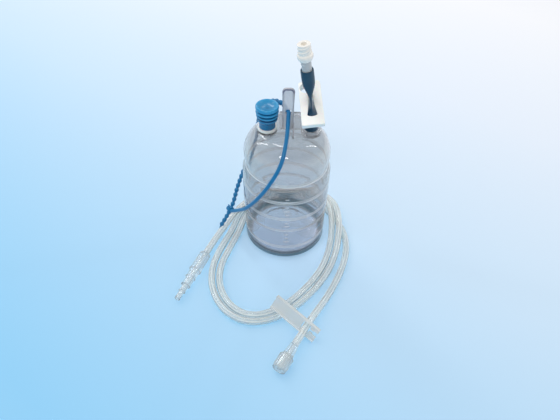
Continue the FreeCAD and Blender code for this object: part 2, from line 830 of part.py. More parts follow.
PLAIN_SIDE = [
    (0.35, 0, 134), (0, -10, 128.5), (-0.8, -21, 122.5), (-4, -35.5, 110), (-13.5, -38.6, 91), (-23.8, -33.4, 70),
    (-34, -24, 50), (-41.5, -14, 37.5), (-46.5, -8.8, 31.5), (-49.4, -5.1, 27.3),
]
BEADED_SIDE = [
    (0.35, 0, 134), (-2.5, 5, 137), (-10, 12, 136.5), (-17, 19, 129.5), (-23, 26.5, 113.5), (-26.5, 31.5, 95),
    (-29.4, 29.9, 80), (-34.1, 24.3, 66), (-39.5, 17.5, 55), (-44.5, 9, 44), (-47.5, 2, 33), (-50.5, -2.1, 26.7),
    (-55, -5.5, 18.5), (-61, -11, 10.5),
]
EYE = (-50.5, -2.1, 26.7)
EYE_AXIS = (-0.466, -0.329, -0.822)
EYE_ROOT = (0.33, -0.926, 0.18)


def build_strap():
    """Sweep both sides, thread the beads on the second and add the eye with its tip."""
    plain = round_tube(rounded_route(PLAIN_SIDE, "strap plain side"), SIZES["strap_radius"], "plain side")
    route = rounded_route(BEADED_SIDE, "strap beaded side")
    count = int(route.Length / SIZES["strap_bead_pitch"])
    points = route.discretize(Number=count + 1)
    chain = []
    for point, following in zip(points, points[1:]):
        link = following - point
        chain.append(Part.makeCylinder(SIZES["strap_neck_radius"], link.Length, point, link))
        chain.append(Part.makeSphere(SIZES["strap_bead_radius"], following, link))
    joint = Part.makeSphere(SIZES["strap_radius"], FreeCAD.Vector(*PLAIN_SIDE[0]))
    axis = FreeCAD.Vector(*EYE_AXIS)
    thickness = SIZES["strap_eye_thickness"]
    centre = FreeCAD.Vector(*EYE)
    start = centre - axis.normalize() * thickness / 2
    eye = Part.makeCylinder(SIZES["strap_eye_radius"], thickness, start, axis)
    tip_way = FreeCAD.Vector(*EYE_ROOT) * -1
    tip = Part.makeCone(SIZES["strap_eye_thickness"] / 2, 0.4, SIZES["strap_tip_length"],
                        centre + tip_way * (SIZES["strap_eye_radius"] - 0.6), tip_way)
    bore = Part.makeCylinder(SIZES["strap_eye_bore"], thickness * 3, start - axis * thickness, axis)
    holder = plain.multiFuse([eye, tip]).cut(bore)
    free_piece("strap", holder.multiFuse([joint] + chain))


# Connecting line: one closed band for the two coiled turns, and two free tails

COIL_ROUTE = [
    (12, 51), (30, 45.5), (43.5, 33), (48.5, 14), (48, -10), (43.5, -34), (35, -55), (22.5, -73.5),
    (8, -89.5), (-8.5, -100.5), (-25, -105), (-41, -100), (-53.5, -86), (-60, -68), (-60, -48),
    (-54, -28), (-46.5, -8), (-42.5, 10), (-35.5, 28), (-23.5, 42), (-7, 50),
]
INLET_TAIL = [
    (-38, 21, 3.1), (-47.5, 12.5, 3.1), (-54.5, 3, 3.1), (-60.3, -9, 3.6), (-65.9, -24, 5.6), (-71.5, -39.5, 5.6),
]
OUTLET_TAIL = [
    (44, 8, 3.1), (51.5, 1, 3.1), (56.5, -10, 3.1), (57.2, -25, 3.1), (54.5, -41, 3.1), (48.5, -58, 3.1),
    (40, -75.5, 3.1), (31, -92, 5.4), (21.8, -107.5, 8.9), (14.3, -120.6, 7.6), (8.7, -130.1, 7.35),
]


def build_coil():
    """Extrude the band that both coiled turns fill, with rounded edges."""
    radius = SIZES["line_diameter"] / 2
    corners = [FreeCAD.Vector(x, y, 0) for x, y in COIL_ROUTE]
    count = len(corners)
    edges = []
    ends = []
    for index, corner in enumerate(corners):
        arriving = corner - corners[index - 1]
        leaving = corners[(index + 1) % count] - corner
        turn = arriving.getAngle(leaving)
        setback = 0.45 * min(arriving.Length, leaving.Length)
        arriving.normalize()
        leaving.normalize()
        bend = setback / math.tan(turn / 2)
        inward = (leaving - arriving).normalize()
        middle = corner + inward * (bend / math.cos(turn / 2) - bend)
        ends.append((corner - arriving * setback, middle, corner + leaving * setback))
    for index, (start, middle, end) in enumerate(ends):
        edges.append(Part.Arc(start, middle, end).toShape())
        edges.append(Part.makeLine(end, ends[(index + 1) % count][0]))
    loop = Part.Wire(edges)
    half = SIZES["coil_turns_width"] / 2
    outer = loop.makeOffset2D(half)
    inner = loop.makeOffset2D(-half)
    face = Part.makeFace([outer, inner], "Part::FaceMakerBullseye")
    band = face.extrude(FreeCAD.Vector(0, 0, radius * 2))
    free_piece("tube_coil", band)
    print("coil loop length", round(loop.Length, 1))
    return band


def build_tail(name, route, band):
    """Lay a tail along its route, raised at its free end to its fitting, and trim it at the coil."""
    tail = round_tube(rounded_route(route, name), SIZES["line_diameter"] / 2, name)
    outside = max(tail.cut(band).Solids, key=lambda solid: solid.Volume)
    free_piece(name, outside)


def on_tail_end(route):
    """Give the placement of a fitting on a tail's end, its Z axis along the last run."""
    before, end = [FreeCAD.Vector(*point) for point in route[-2:]]
    return FreeCAD.Placement(end, FreeCAD.Rotation(FreeCAD.Vector(0, 0, 1), end - before))


# Stepped connector, with a bore right through it

def build_step_connector():
    """Turn the ribbed barrel and its four falling steps, each a little flared."""
    body = new_body("step_connector")
    bore = size.step_bore_radius
    flare = size.step_flare
    points = [(bore, ZERO), (size.step_barrel_radius, ZERO)]
    height = size.step_barrel_length - size.step_rim_length
    points += [
        (size.step_barrel_radius, height),
        (size.step_barrel_end_radius, height),
        (size.step_barrel_end_radius, size.step_barrel_length),
    ]
    height = size.step_barrel_length
    for name in ("first", "second", "third", "tip"):
        radius = getattr(size, f"step_{name}_radius")
        length = getattr(size, f"step_{name}_length")
        points += [(radius, height), (radius + flare * 0.2, height + length)]
        if name != "tip":
            points += [(radius + flare, height + length), (radius + flare, height + length + 0.6)]
        height = height + length + (0.6 if name != "tip" else 0)
    points.append((bore, height))
    turned(body, "steps", points)
    body.Placement = on_tail_end(INLET_TAIL)


# Lock connector: body with a tapered nose, and the nut that turns on it

def build_luer():
    """Turn the connector's body and the nut that it holds behind its flange."""
    body = new_body("luer_body")
    bore = size.luer_bore_radius
    neck_start = size.luer_socket_length
    flange_start = neck_start + size.luer_neck_length
    cone_start = flange_start + size.luer_flange_length
    tip = cone_start + size.luer_cone_length
    turned(body, "socket_and_nose", [
        (bore, ZERO),
        (size.luer_socket_start_radius, ZERO),
        (size.luer_socket_end_radius, neck_start),
        (size.luer_neck_radius, neck_start),
        (size.luer_neck_radius, flange_start),
        (size.luer_flange_radius, flange_start),
        (size.luer_flange_radius, cone_start),
        (size.luer_cone_start_radius, cone_start),
        (size.luer_cone_end_radius, tip),
        (bore, tip),
    ])
    sketch = new_sketch(body, "XZ_Plane", "grip_rib_outline")
    draw_outline(sketch, [
        (size.luer_socket_start_radius - 0.8, ZERO),
        (size.luer_socket_start_radius + size.luer_rib_height * 0.4, ZERO),
        (size.luer_socket_end_radius + size.luer_rib_height, neck_start - 1.5),
        (size.luer_socket_end_radius + size.luer_rib_height, neck_start),
        (size.luer_socket_end_radius - 0.8, neck_start),
    ])
    rib = padded(body, sketch, "grip_rib", size.luer_rib_thickness, midplane=True)
    around(body, rib, size.luer_rib_count, "grip_ribs")

    nut = new_body("luer_nut")
    back = neck_start + 0.3
    wall_end = back + size.nut_back_wall
    end = back + size.nut_length
    turned(nut, "bell", [
        (size.luer_neck_radius + size.nut_running_gap, back),
        (size.nut_radius - 1, back),
        (size.nut_radius, wall_end),
        (size.nut_mouth_radius, end),
        (size.nut_cavity_radius, end),
        (size.nut_cavity_radius, wall_end),
        (size.luer_neck_radius + size.nut_running_gap, wall_end),
    ])
    sketch = new_sketch(nut, "XY_Plane", "grip_ridge_circle", wall_end)
    draw_circle(sketch, size.nut_mouth_radius, ZERO, size.nut_rib_radius)
    ridge = padded(nut, sketch, "grip_ridge", end - wall_end - 1)
    around(nut, ridge, size.nut_rib_count, "grip_ridges")

    for piece in (body, nut):
        piece.Placement = on_tail_end(OUTLET_TAIL)


# Slide clamp on the line: a rimmed bar with a keyhole, leaning back on the line

def build_line_clamp():
    """Pad the rimmed bar's section along it, then cut the keyhole and the end notch."""
    body = new_body("line_clamp")
    plate = size.line_clamp_plate * 0.5
    half = size.line_clamp_width * 0.5
    rim = size.line_clamp_rim
    proud = plate + size.line_clamp_rim_height
    left_reach = size.line_clamp_length - size.line_clamp_right_reach
    sketch = new_sketch(body, "YZ_Plane", "bar_outline", -left_reach)
    draw_outline(sketch, [
        (-proud, -half),
        (plate, -half),
        (plate, half),
        (-proud, half),
        (-proud, half - rim),
        (-plate, half - rim),
        (-plate, rim - half),
        (-proud, rim - half),
    ])
    padded(body, sketch, "bar", size.line_clamp_length)

    hole = size.line_clamp_hole_half
    stretch = size.line_clamp_hole_stretch
    slot = size.line_clamp_slot_width * 0.5
    sketch = new_sketch(body, "XZ_Plane", "keyhole_outline", size.line_clamp_width)
    draw_outline(sketch, [
        (-hole, -stretch),
        (hole, -stretch),
        (hole, stretch),
        (-hole, stretch),
    ], {0: (hole, 1), 2: (hole, 1)})
    pocketed(body, sketch, "round_hole", size.line_clamp_width * 2)
    sketch = new_sketch(body, "XZ_Plane", "narrow_slot_outline", size.line_clamp_width)
    draw_outline(sketch, [
        (ZERO, -slot),
        (size.line_clamp_right_reach + 1, -slot),
        (size.line_clamp_right_reach + 1, slot),
        (ZERO, slot),
    ])
    pocketed(body, sketch, "narrow_slot", size.line_clamp_width * 2)
    notch = size.line_clamp_notch_width * 0.5
    sketch = new_sketch(body, "XZ_Plane", "end_notch_outline", size.line_clamp_width)
    draw_outline(sketch, [
        (size.line_clamp_right_reach - size.line_clamp_notch_depth, -notch),
        (size.line_clamp_right_reach + 1, -notch),
        (size.line_clamp_right_reach + 1, notch),
        (size.line_clamp_right_reach - size.line_clamp_notch_depth, notch),
    ])
    pocketed(body, sketch, "end_notch", size.line_clamp_width * 2)

    heading = FreeCAD.Rotation(FreeCAD.Vector(0, 0, 1), -SIZES["line_clamp_heading"])
    slope = FreeCAD.Rotation(FreeCAD.Vector(0, 1, 0), SIZES["line_clamp_slope"])
    lean = FreeCAD.Rotation(FreeCAD.Vector(1, 0, 0), -SIZES["line_clamp_lean"])
    place(body, (size.line_clamp_x, size.line_clamp_y, size.line_clamp_height), heading * slope * lean)


build_bottle()
build_collar_ring()
build_bellows()
build_slide_clamp()
build_sleeve()
build_port_tube()
build_port_connector()
build_strap()
coil_band = build_coil()
build_tail("tail_inlet", INLET_TAIL, coil_band)
build_tail("tail_outlet", OUTLET_TAIL, coil_band)
build_step_connector()
build_luer()
build_line_clamp()
doc.recompute()

# Check every feature and write each piece to its own file
for item in doc.Objects:
    if "Invalid" in item.State or "Error" in item.State:
        raise ValueError(f"{item.Label} did not compute")
os.makedirs("parts", exist_ok=True)
for part in parts:
    shape = part.Shape
    if shape.isNull() or not shape.isValid():
        raise ValueError(f"{part.Label} has no valid shape")
    print(part.Label, "solids", len(shape.Solids), "volume", round(shape.Volume, 1))
    shape.exportStep(f"parts/{part.Label}.step")
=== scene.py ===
"""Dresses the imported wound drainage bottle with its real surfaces, finishes, floor, light and camera.

Sizes are in millimetres, apart from those of the finishes and the studio, which are in metres.
"""
import logging
import math
from dataclasses import dataclass, field
from enum import Enum
from typing import Sequence

import bpy
import bmesh
import numpy as np
from mathutils import Matrix, Vector


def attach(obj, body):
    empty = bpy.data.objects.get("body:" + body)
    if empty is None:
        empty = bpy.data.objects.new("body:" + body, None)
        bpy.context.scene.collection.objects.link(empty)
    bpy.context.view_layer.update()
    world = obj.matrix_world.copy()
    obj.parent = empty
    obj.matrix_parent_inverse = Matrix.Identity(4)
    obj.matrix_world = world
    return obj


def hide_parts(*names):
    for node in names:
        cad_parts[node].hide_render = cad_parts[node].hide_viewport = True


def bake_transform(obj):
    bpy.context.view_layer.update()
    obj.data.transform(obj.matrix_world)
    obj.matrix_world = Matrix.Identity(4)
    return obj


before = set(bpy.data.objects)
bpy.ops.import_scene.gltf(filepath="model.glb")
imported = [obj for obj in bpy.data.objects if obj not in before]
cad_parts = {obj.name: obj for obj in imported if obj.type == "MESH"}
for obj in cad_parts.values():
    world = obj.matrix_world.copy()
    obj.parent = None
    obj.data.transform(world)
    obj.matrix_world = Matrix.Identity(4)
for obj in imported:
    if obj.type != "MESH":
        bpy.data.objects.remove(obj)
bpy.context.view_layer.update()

LOG = logging.getLogger("drainage_bottle")
MM = 0.001
Array = np.ndarray
Colour = tuple[float, float, float]

# The least length that anything is divided by, and the largest share of a side that a rounding takes
TINY = 1e-9
SIDE_SHARE = 0.48
# How near points are joined, and how short an edge is dropped, in metres
SEAM_REACH = 2e-6
SLIVER = 1e-7
# The stored value that says how far a point takes its finish's second colour: painted shade on the bellows
# and painted highlight stripes on the line
BLEND_SHARE = "blend_share"


class Body(Enum):
    """The bodies that the new pieces ride on."""

    ROOT = "root"
    BELLOWS = "bellows_body"
    SLEEVE_CLAMP = "sleeve_clamp_body"
    NUT = "nut_body"


class Slot(Enum):
    """The record's material slots."""

    SHELL = "clear_shell"
    WHITE = "white_moulding"
    BLUE_RUBBER = "blue_rubber"
    DARK_RUBBER = "dark_blue_rubber"
    GREY_TUBE = "grey_tube"
    MILKY = "translucent_white"
    STRAP = "blue_strap"
    LINE = "clear_line"
    FITTING = "clear_fitting"


# Surfaces as whole arrays


@dataclass(frozen=True)
class Grid:
    """A surface as a grid of points, in millimetres.

    Rows follow the first parameter and columns the second; each may close on itself.
    """

    points: Array
    wrap_rows: bool = False
    wrap_columns: bool = True

    def faces(self, first: int) -> Array:
        """Number the grid's four-sided faces.

        Args:
            first: The number of the grid's first point in its mesh.

        Returns:
            One row of four point numbers a face: (r, c), (r, c + 1), (r + 1, c + 1), (r + 1, c).
        """
        rows, columns = self.points.shape[:2]
        numbers = np.arange(rows * columns).reshape(rows, columns) + first
        if self.wrap_rows:
            numbers = np.vstack([numbers, numbers[:1]])
        if self.wrap_columns:
            numbers = np.hstack([numbers, numbers[:, :1]])
        corners = (numbers[:-1, :-1], numbers[:-1, 1:], numbers[1:, 1:], numbers[1:, :-1])
        return np.stack([corner.ravel() for corner in corners], axis=1)


def smooth_route(points: Sequence[Sequence[float]], samples: int) -> Array:
    """Draw the smooth curve that a chain of points pulls along.

    The curve is the sum of the points times their quadratic B-spline weights, with clamped ends.

    Args:
        points: The chain, one row a point, of any number of values.
        samples: How many points the curve gets.

    Returns:
        The curve's points, one row each.
    """
    chain = np.asarray(points, float)
    count = len(chain)
    spans = count - 2
    knots = np.concatenate([[0.0, 0.0], np.arange(spans + 1), [spans, spans]])
    at = np.linspace(0.0, spans, samples)[:, None]
    weights = ((at >= knots[:-1]) & (at < knots[1:])).astype(float)
    for degree in (1, 2):
        width = knots[degree:-1] - knots[:-degree - 1]
        width_after = knots[degree + 1:] - knots[1:-degree]
        rising = np.divide(
            at - knots[:-degree - 1], width,
            out=np.zeros((samples, len(width))), where=width > 0)
        falling = np.divide(
            knots[degree + 1:] - at, width_after,
            out=np.zeros((samples, len(width_after))), where=width_after > 0)
        weights = rising * weights[:, :-1] + falling * weights[:, 1:]
    weights[-1] = 0.0
    weights[-1, count - 1] = 1.0
    return weights @ chain


def soften(points: Sequence[Sequence[float]], setbacks: float | Sequence[float], closed: bool = True,
           steps: int = 5) -> Array:
    """Round a profile's corners.

    Each corner P between A and B becomes the curve (1-t)^2 A' + 2t(1-t) P + t^2 B', where A' and B' lie the
    setback away from P towards its neighbours, but never past 0.48 of the way.

    Args:
        points: The profile's corners.
        setbacks: How far from each corner its rounding starts, in millimetres.
        closed: True where the last corner joins the first.
        steps: Points a rounding.

    Returns:
        The rounded profile.
    """
    corners = np.asarray(points, float)
    reach = np.broadcast_to(np.asarray(setbacks, float), (len(corners),)).copy()
    before = np.roll(corners, 1, axis=0) - corners
    after = np.roll(corners, -1, axis=0) - corners
    if not closed:
        reach[[0, -1]] = 0.0
    long_before = np.linalg.norm(before, axis=1)
    long_after = np.linalg.norm(after, axis=1)
    share_before = np.minimum(reach / np.maximum(long_before, TINY), SIDE_SHARE)[:, None]
    share_after = np.minimum(reach / np.maximum(long_after, TINY), SIDE_SHARE)[:, None]
    start = corners + before * share_before
    end = corners + after * share_after
    at = np.linspace(0.0, 1.0, steps)[None, :, None]
    curve = (1 - at) ** 2 * start[:, None] + 2 * at * (1 - at) * corners[:, None] + at ** 2 * end[:, None]
    line = curve.reshape(-1, corners.shape[1])
    step = np.linalg.norm(line - np.roll(line, 1, axis=0), axis=1)
    keep = step > 1e-6
    if not closed:
        keep[0] = True
    return line[keep]


def denser(line: Array, parts: int, closed: bool = True) -> Array:
    """Cut each side of a line into equal parts: the points are a + (b - a) k / parts.

    Args:
        line: The line's corners.
        parts: How many parts a side has.
        closed: True where the last corner joins the first.

    Returns:
        The line's points, its corners among them.
    """
    if closed:
        cut = np.linspace(line, np.roll(line, -1, axis=0), parts, endpoint=False, axis=1)
        return cut.reshape(-1, line.shape[1])
    cut = np.linspace(line[:-1], line[1:], parts, endpoint=False, axis=1)
    return np.vstack([cut.reshape(-1, line.shape[1]), line[-1:]])


def round_turn(count: int) -> Array:
    """Give even angles round a whole turn, from 0."""
    return np.linspace(0.0, 2 * math.pi, count, endpoint=False)


def tapered(section: Array, shares: Array) -> Array:
    """Repeat a section, each time drawn in to its middle: middle + (section - middle) share.

    Args:
        section: The section's corners.
        shares: The width of each repeat as a share of the section's.

    Returns:
        One section a share.
    """
    middle = section.mean(axis=0)
    return middle + (section - middle)[None] * shares[:, None, None]


def revolve(profile: Array, segments: int, relief: Array | None = None, closed: bool = True) -> Grid:
    """Turn a profile about Z: a point is ((r + relief) cos a, (r + relief) sin a, z).

    Args:
        profile: Radius and height pairs.
        segments: How many steps the turn has.
        relief: How far each point stands out, one row a profile point and one column a step.
        closed: True where the profile's last point joins its first.

    Returns:
        The surface, one row a profile point.
    """
    angles = round_turn(segments)
    radius = profile[:, :1] + (0.0 if relief is None else relief)
    radius = np.broadcast_to(radius, (len(profile), segments))
    height = np.broadcast_to(profile[:, 1:2], (len(profile), segments))
    points = np.stack([radius * np.cos(angles), radius * np.sin(angles), height], axis=2)
    return Grid(points, wrap_rows=closed)


def frames_along(path: Array, lead: Sequence[float]) -> tuple[Array, Array]:
    """Give two directions across a path at each of its points.

    Across is the tangent times the leading direction, made one long; over is across times the tangent.

    Args:
        path: The path's points.
        lead: A direction that the path never runs along.

    Returns:
        The across and over directions, one row a point.
    """
    tangent = np.gradient(path, axis=0)
    tangent /= np.linalg.norm(tangent, axis=1)[:, None]
    across = np.cross(tangent, np.asarray(lead, float))
    across /= np.linalg.norm(across, axis=1)[:, None]
    return across, np.cross(across, tangent)


def tube_along(path: Array, radii: Array | float, segments: int, lead: Sequence[float] = (0.0, 0.0, 1.0),
               flat: float = 1.0) -> Grid:
    """Carry a circle along a path: a point is path + radius (cos a across + flat sin a over).

    Args:
        path: The path's points.
        radii: The radius at each point of the path.
        segments: How many steps the circle has.
        lead: A direction that the path never runs along.
        flat: How much thinner the section is over than across.

    Returns:
        The surface, one row a path point.
    """
    across, over = frames_along(path, lead)
    angles = round_turn(segments)[None, :, None]
    width = np.broadcast_to(np.asarray(radii, float), (len(path),))[:, None, None]
    ring = np.cos(angles) * across[:, None] + flat * np.sin(angles) * over[:, None]
    return Grid(path[:, None] + width * ring)


def capped(grid: Grid) -> Grid:
    """Close both ends of a tube by a last ring drawn in to the middle of the end.

    Args:
        grid: The tube.

    Returns:
        The tube with a ring of no width at either end.
    """
    points = grid.points
    first = np.broadcast_to(points[:1].mean(axis=1, keepdims=True), points[:1].shape)
    last = np.broadcast_to(points[-1:].mean(axis=1, keepdims=True), points[-1:].shape)
    return Grid(np.vstack([first, points, last]), grid.wrap_rows, grid.wrap_columns)


def even_loop(corners: Array, count: int) -> Array:
    """Share out points evenly along a closed line, from its first corner.

    Args:
        corners: The line's corners.
        count: How many points the loop gets.

    Returns:
        The loop's points.
    """
    line = np.vstack([corners, corners[:1]])
    length = np.concatenate([[0.0], np.cumsum(np.linalg.norm(np.diff(line, axis=0), axis=1))])
    at = np.linspace(0.0, length[-1], count, endpoint=False)
    return np.stack([np.interp(at, length, line[:, axis]) for axis in range(line.shape[1])], axis=1)


def arc_points(centre: Sequence[float], radius: float, start: float, end: float, count: int) -> Array:
    """Give points on an arc, its angles in degrees."""
    angles = np.radians(np.linspace(start, end, count))
    return np.stack([centre[0] + radius * np.cos(angles), centre[1] + radius * np.sin(angles)], axis=1)


def plate(outer: Array, inner: Array, half: float, edge: float, steps: int = 6) -> Grid:
    """Make a flat plate between two loops with rounded edges.

    Over a loop, a section runs from the inner loop's top to the outer loop's top, down round the outer edge,
    back under and up round the inner edge. The edge is a quarter circle: in by e(1 - sin a) and down by
    e(1 - cos a).

    Args:
        outer: The outer loop, as x and y.
        inner: The inner loop, with as many points; a hole's rim, or one point repeated for a whole plate.
        half: Half the thickness.
        edge: The radius of the rounded edges.
        steps: Rows across the flat faces.

    Returns:
        The surface, one row a station of the section.
    """
    turn = np.linspace(0.0, math.pi / 2, 5)
    inward = (1 - np.sin(turn)) * edge
    drop = (1 - np.cos(turn)) * edge
    span = np.linalg.norm(outer - inner, axis=1)[:, None]
    way = (outer - inner) / np.maximum(span, TINY)
    whole = bool(np.allclose(inner, inner[:1]))
    rim = 0.0 if whole else edge
    shares = np.linspace(0.0, 1.0, steps)[1:-1]
    top_flat = [inner + way * (rim + (span - rim - edge) * share) for share in shares]
    top_outer = [outer - way * value for value in inward]
    top_inner = [inner] if whole else [inner + way * value for value in inward[::-1]]
    inner_drop = [0.0] if whole else list(drop[::-1])
    top = [(xy, half - down) for xy, down in zip(top_inner, inner_drop)]
    top += [(xy, half) for xy in top_flat]
    top += [(xy, half - down) for xy, down in zip(top_outer, drop)]
    rows = top + [(xy, -height) for xy, height in reversed(top)]
    points = np.stack([np.column_stack([xy, np.full(len(xy), height)]) for xy, height in rows])
    return Grid(points, wrap_rows=not whole)


def turned_to(grid: Grid, matrix: Matrix) -> Grid:
    """Move a surface by a matrix whose shift is in millimetres."""
    values = np.array(matrix)
    return Grid(grid.points @ values[:3, :3].T + values[:3, 3], grid.wrap_rows, grid.wrap_columns)


def along_axis(base: Sequence[float], direction: Sequence[float]) -> Matrix:
    """Give the matrix that stands Z along a direction at a base point."""
    turn = Vector((0.0, 0.0, 1.0)).rotation_difference(Vector(direction)).to_matrix().to_4x4()
    return Matrix.Translation(Vector(base)) @ turn


def add_closed(work: bmesh.types.BMesh, grids: Sequence[Grid], hollow: bool) -> None:
    """Add surfaces to a mesh, closed at their seams and poles, with faces outwards, or inwards for a hollow.

    Args:
        work: The mesh that they are added to.
        grids: The surfaces, in millimetres.
        hollow: True where they bound a hollow.
    """
    counts = np.cumsum([0] + [grid.points.shape[0] * grid.points.shape[1] for grid in grids])
    points = np.vstack([grid.points.reshape(-1, 3) for grid in grids]) * MM
    faces = np.vstack([grid.faces(int(first)) for grid, first in zip(grids, counts)])
    closed = bpy.data.meshes.new("closed_surface")
    closed.from_pydata(points.tolist(), [], faces.tolist())
    part = bmesh.new()
    part.from_mesh(closed)
    bmesh.ops.remove_doubles(part, verts=part.verts, dist=SEAM_REACH)
    bmesh.ops.dissolve_degenerate(part, edges=part.edges, dist=SLIVER)
    bmesh.ops.recalc_face_normals(part, faces=part.faces)
    if hollow:
        bmesh.ops.reverse_faces(part, faces=part.faces)
    part.to_mesh(closed)
    part.free()
    work.from_mesh(closed)
    bpy.data.meshes.remove(closed)


def make_piece(name: str, grids: Sequence[Grid], material: bpy.types.Material, body: Body | None,
               stands_for: Sequence[str] = (), sharp: float = 40.0,
               cavities: Sequence[Grid] = ()) -> bpy.types.Object:
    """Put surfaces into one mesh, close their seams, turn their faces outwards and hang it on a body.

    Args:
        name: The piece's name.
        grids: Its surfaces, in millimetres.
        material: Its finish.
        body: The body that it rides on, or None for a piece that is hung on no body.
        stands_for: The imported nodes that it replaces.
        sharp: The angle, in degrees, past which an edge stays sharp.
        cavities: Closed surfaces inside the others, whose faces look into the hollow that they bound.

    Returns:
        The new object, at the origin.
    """
    mesh = bpy.data.meshes.new(name)
    work = bmesh.new()
    for surfaces, hollow in ((grids, False), (cavities, True)):
        if surfaces:
            add_closed(work, surfaces, hollow)
    work.to_mesh(mesh)
    work.free()
    mesh.polygons.foreach_set("use_smooth", np.ones(len(mesh.polygons), bool))
    mesh.set_sharp_from_angle(angle=math.radians(sharp))
    mesh.materials.append(material)
    piece = bpy.data.objects.new(name, mesh)
    bpy.context.scene.collection.objects.link(piece)
    if stands_for:
        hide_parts(*stands_for)
    if body is not None:
        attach(piece, body.value)
    LOG.info("%s: %d faces", name, len(mesh.polygons))
    return piece


def note_shares(piece: bpy.types.Object, shares: Array) -> None:
    """Store how far each point of a piece takes its finish's second colour, from 0 to 1."""
    layer = piece.data.attributes.new(BLEND_SHARE, "FLOAT", "POINT")
    layer.data.foreach_set("value", np.clip(shares, 0.0, 1.0).astype(np.float32))


def points_of(piece: bpy.types.Object) -> Array:
    """Read a piece's points, in millimetres.

    Args:
        piece: The piece.

    Returns:
        One row of x, y and z a point.
    """
    values = np.empty(len(piece.data.vertices) * 3)
    piece.data.vertices.foreach_get("co", values)
    return values.reshape(-1, 3) / MM


# Finishes


def ring_highlights(heights: Sequence[float], apart: float = 1.0,
              half: float = 0.52) -> tuple[tuple[float, float], ...]:
    """Give the stops of the painted highlights at the rings: each ring shows as two thin pale lines.

    Args:
        heights: The rings' heights, in millimetres.
        apart: How far each line lies from its ring's middle.
        half: Half a line's width.

    Returns:
        Height and painted highlight pairs, from the foot upwards.
    """
    offsets = (-apart - half, -apart, -apart + half, apart - half, apart, apart + half)
    values = (0.0, 1.0, 0.05, 0.05, 0.8, 0.0)
    return tuple((height + shift, value) for height in heights for shift, value in zip(offsets, values))


def grey_stops(stops: Sequence[tuple[float, float]]) -> list[tuple[float, Colour]]:
    """Turn each stop's number into a grey of that strength."""
    return [(place, (value, value, value)) for place, value in stops]


def mixed(material: bpy.types.Material, share: bpy.types.NodeSocket, first: Colour | bpy.types.NodeSocket,
          second: Colour | bpy.types.NodeSocket) -> bpy.types.NodeSocket:
    """Add a mix of two colours: first (1 - share) + second share.

    Args:
        material: The material that gets it.
        share: How much of the second shows.
        first: A plain colour, or another node's.
        second: The same.

    Returns:
        The mixed colour.
    """
    node = material.node_tree.nodes.new("ShaderNodeMix")
    node.data_type = "RGBA"
    material.node_tree.links.new(share, node.inputs["Factor"])
    for name, colour in (("A", first), ("B", second)):
        if isinstance(colour, tuple):
            node.inputs[name].default_value = (*colour, 1.0)
        else:
            material.node_tree.links.new(colour, node.inputs[name])
    return node.outputs["Result"]


def lessened(material: bpy.types.Material, share: bpy.types.NodeSocket, whole: float,
             loss: float) -> bpy.types.NodeSocket:
    """Add a value that falls with a share: whole - loss share.

    Args:
        material: The material that gets it.
        share: The share.
        whole: The value at no share.
        loss: How much of it a full share takes.

    Returns:
        The value.
    """
    node = material.node_tree.nodes.new("ShaderNodeMath")
    node.operation = "MULTIPLY_ADD"
    material.node_tree.links.new(share, node.inputs[0])
    node.inputs[1].default_value = -loss
    node.inputs[2].default_value = whole
    return node.outputs["Value"]


def stored_share(material: bpy.types.Material) -> bpy.types.NodeSocket:
    """Read the share that a piece stores at its points.

    Args:
        material: The material that reads it.

    Returns:
        The share.
    """
    node = material.node_tree.nodes.new("ShaderNodeAttribute")
    node.attribute_name = BLEND_SHARE
    return node.outputs["Fac"]


# Heights of the moulded rings and, last, of the groove under the bulge, in millimetres
RING_HEIGHTS = (14.9, 36.4, 51.0, 69.6, 86.3)


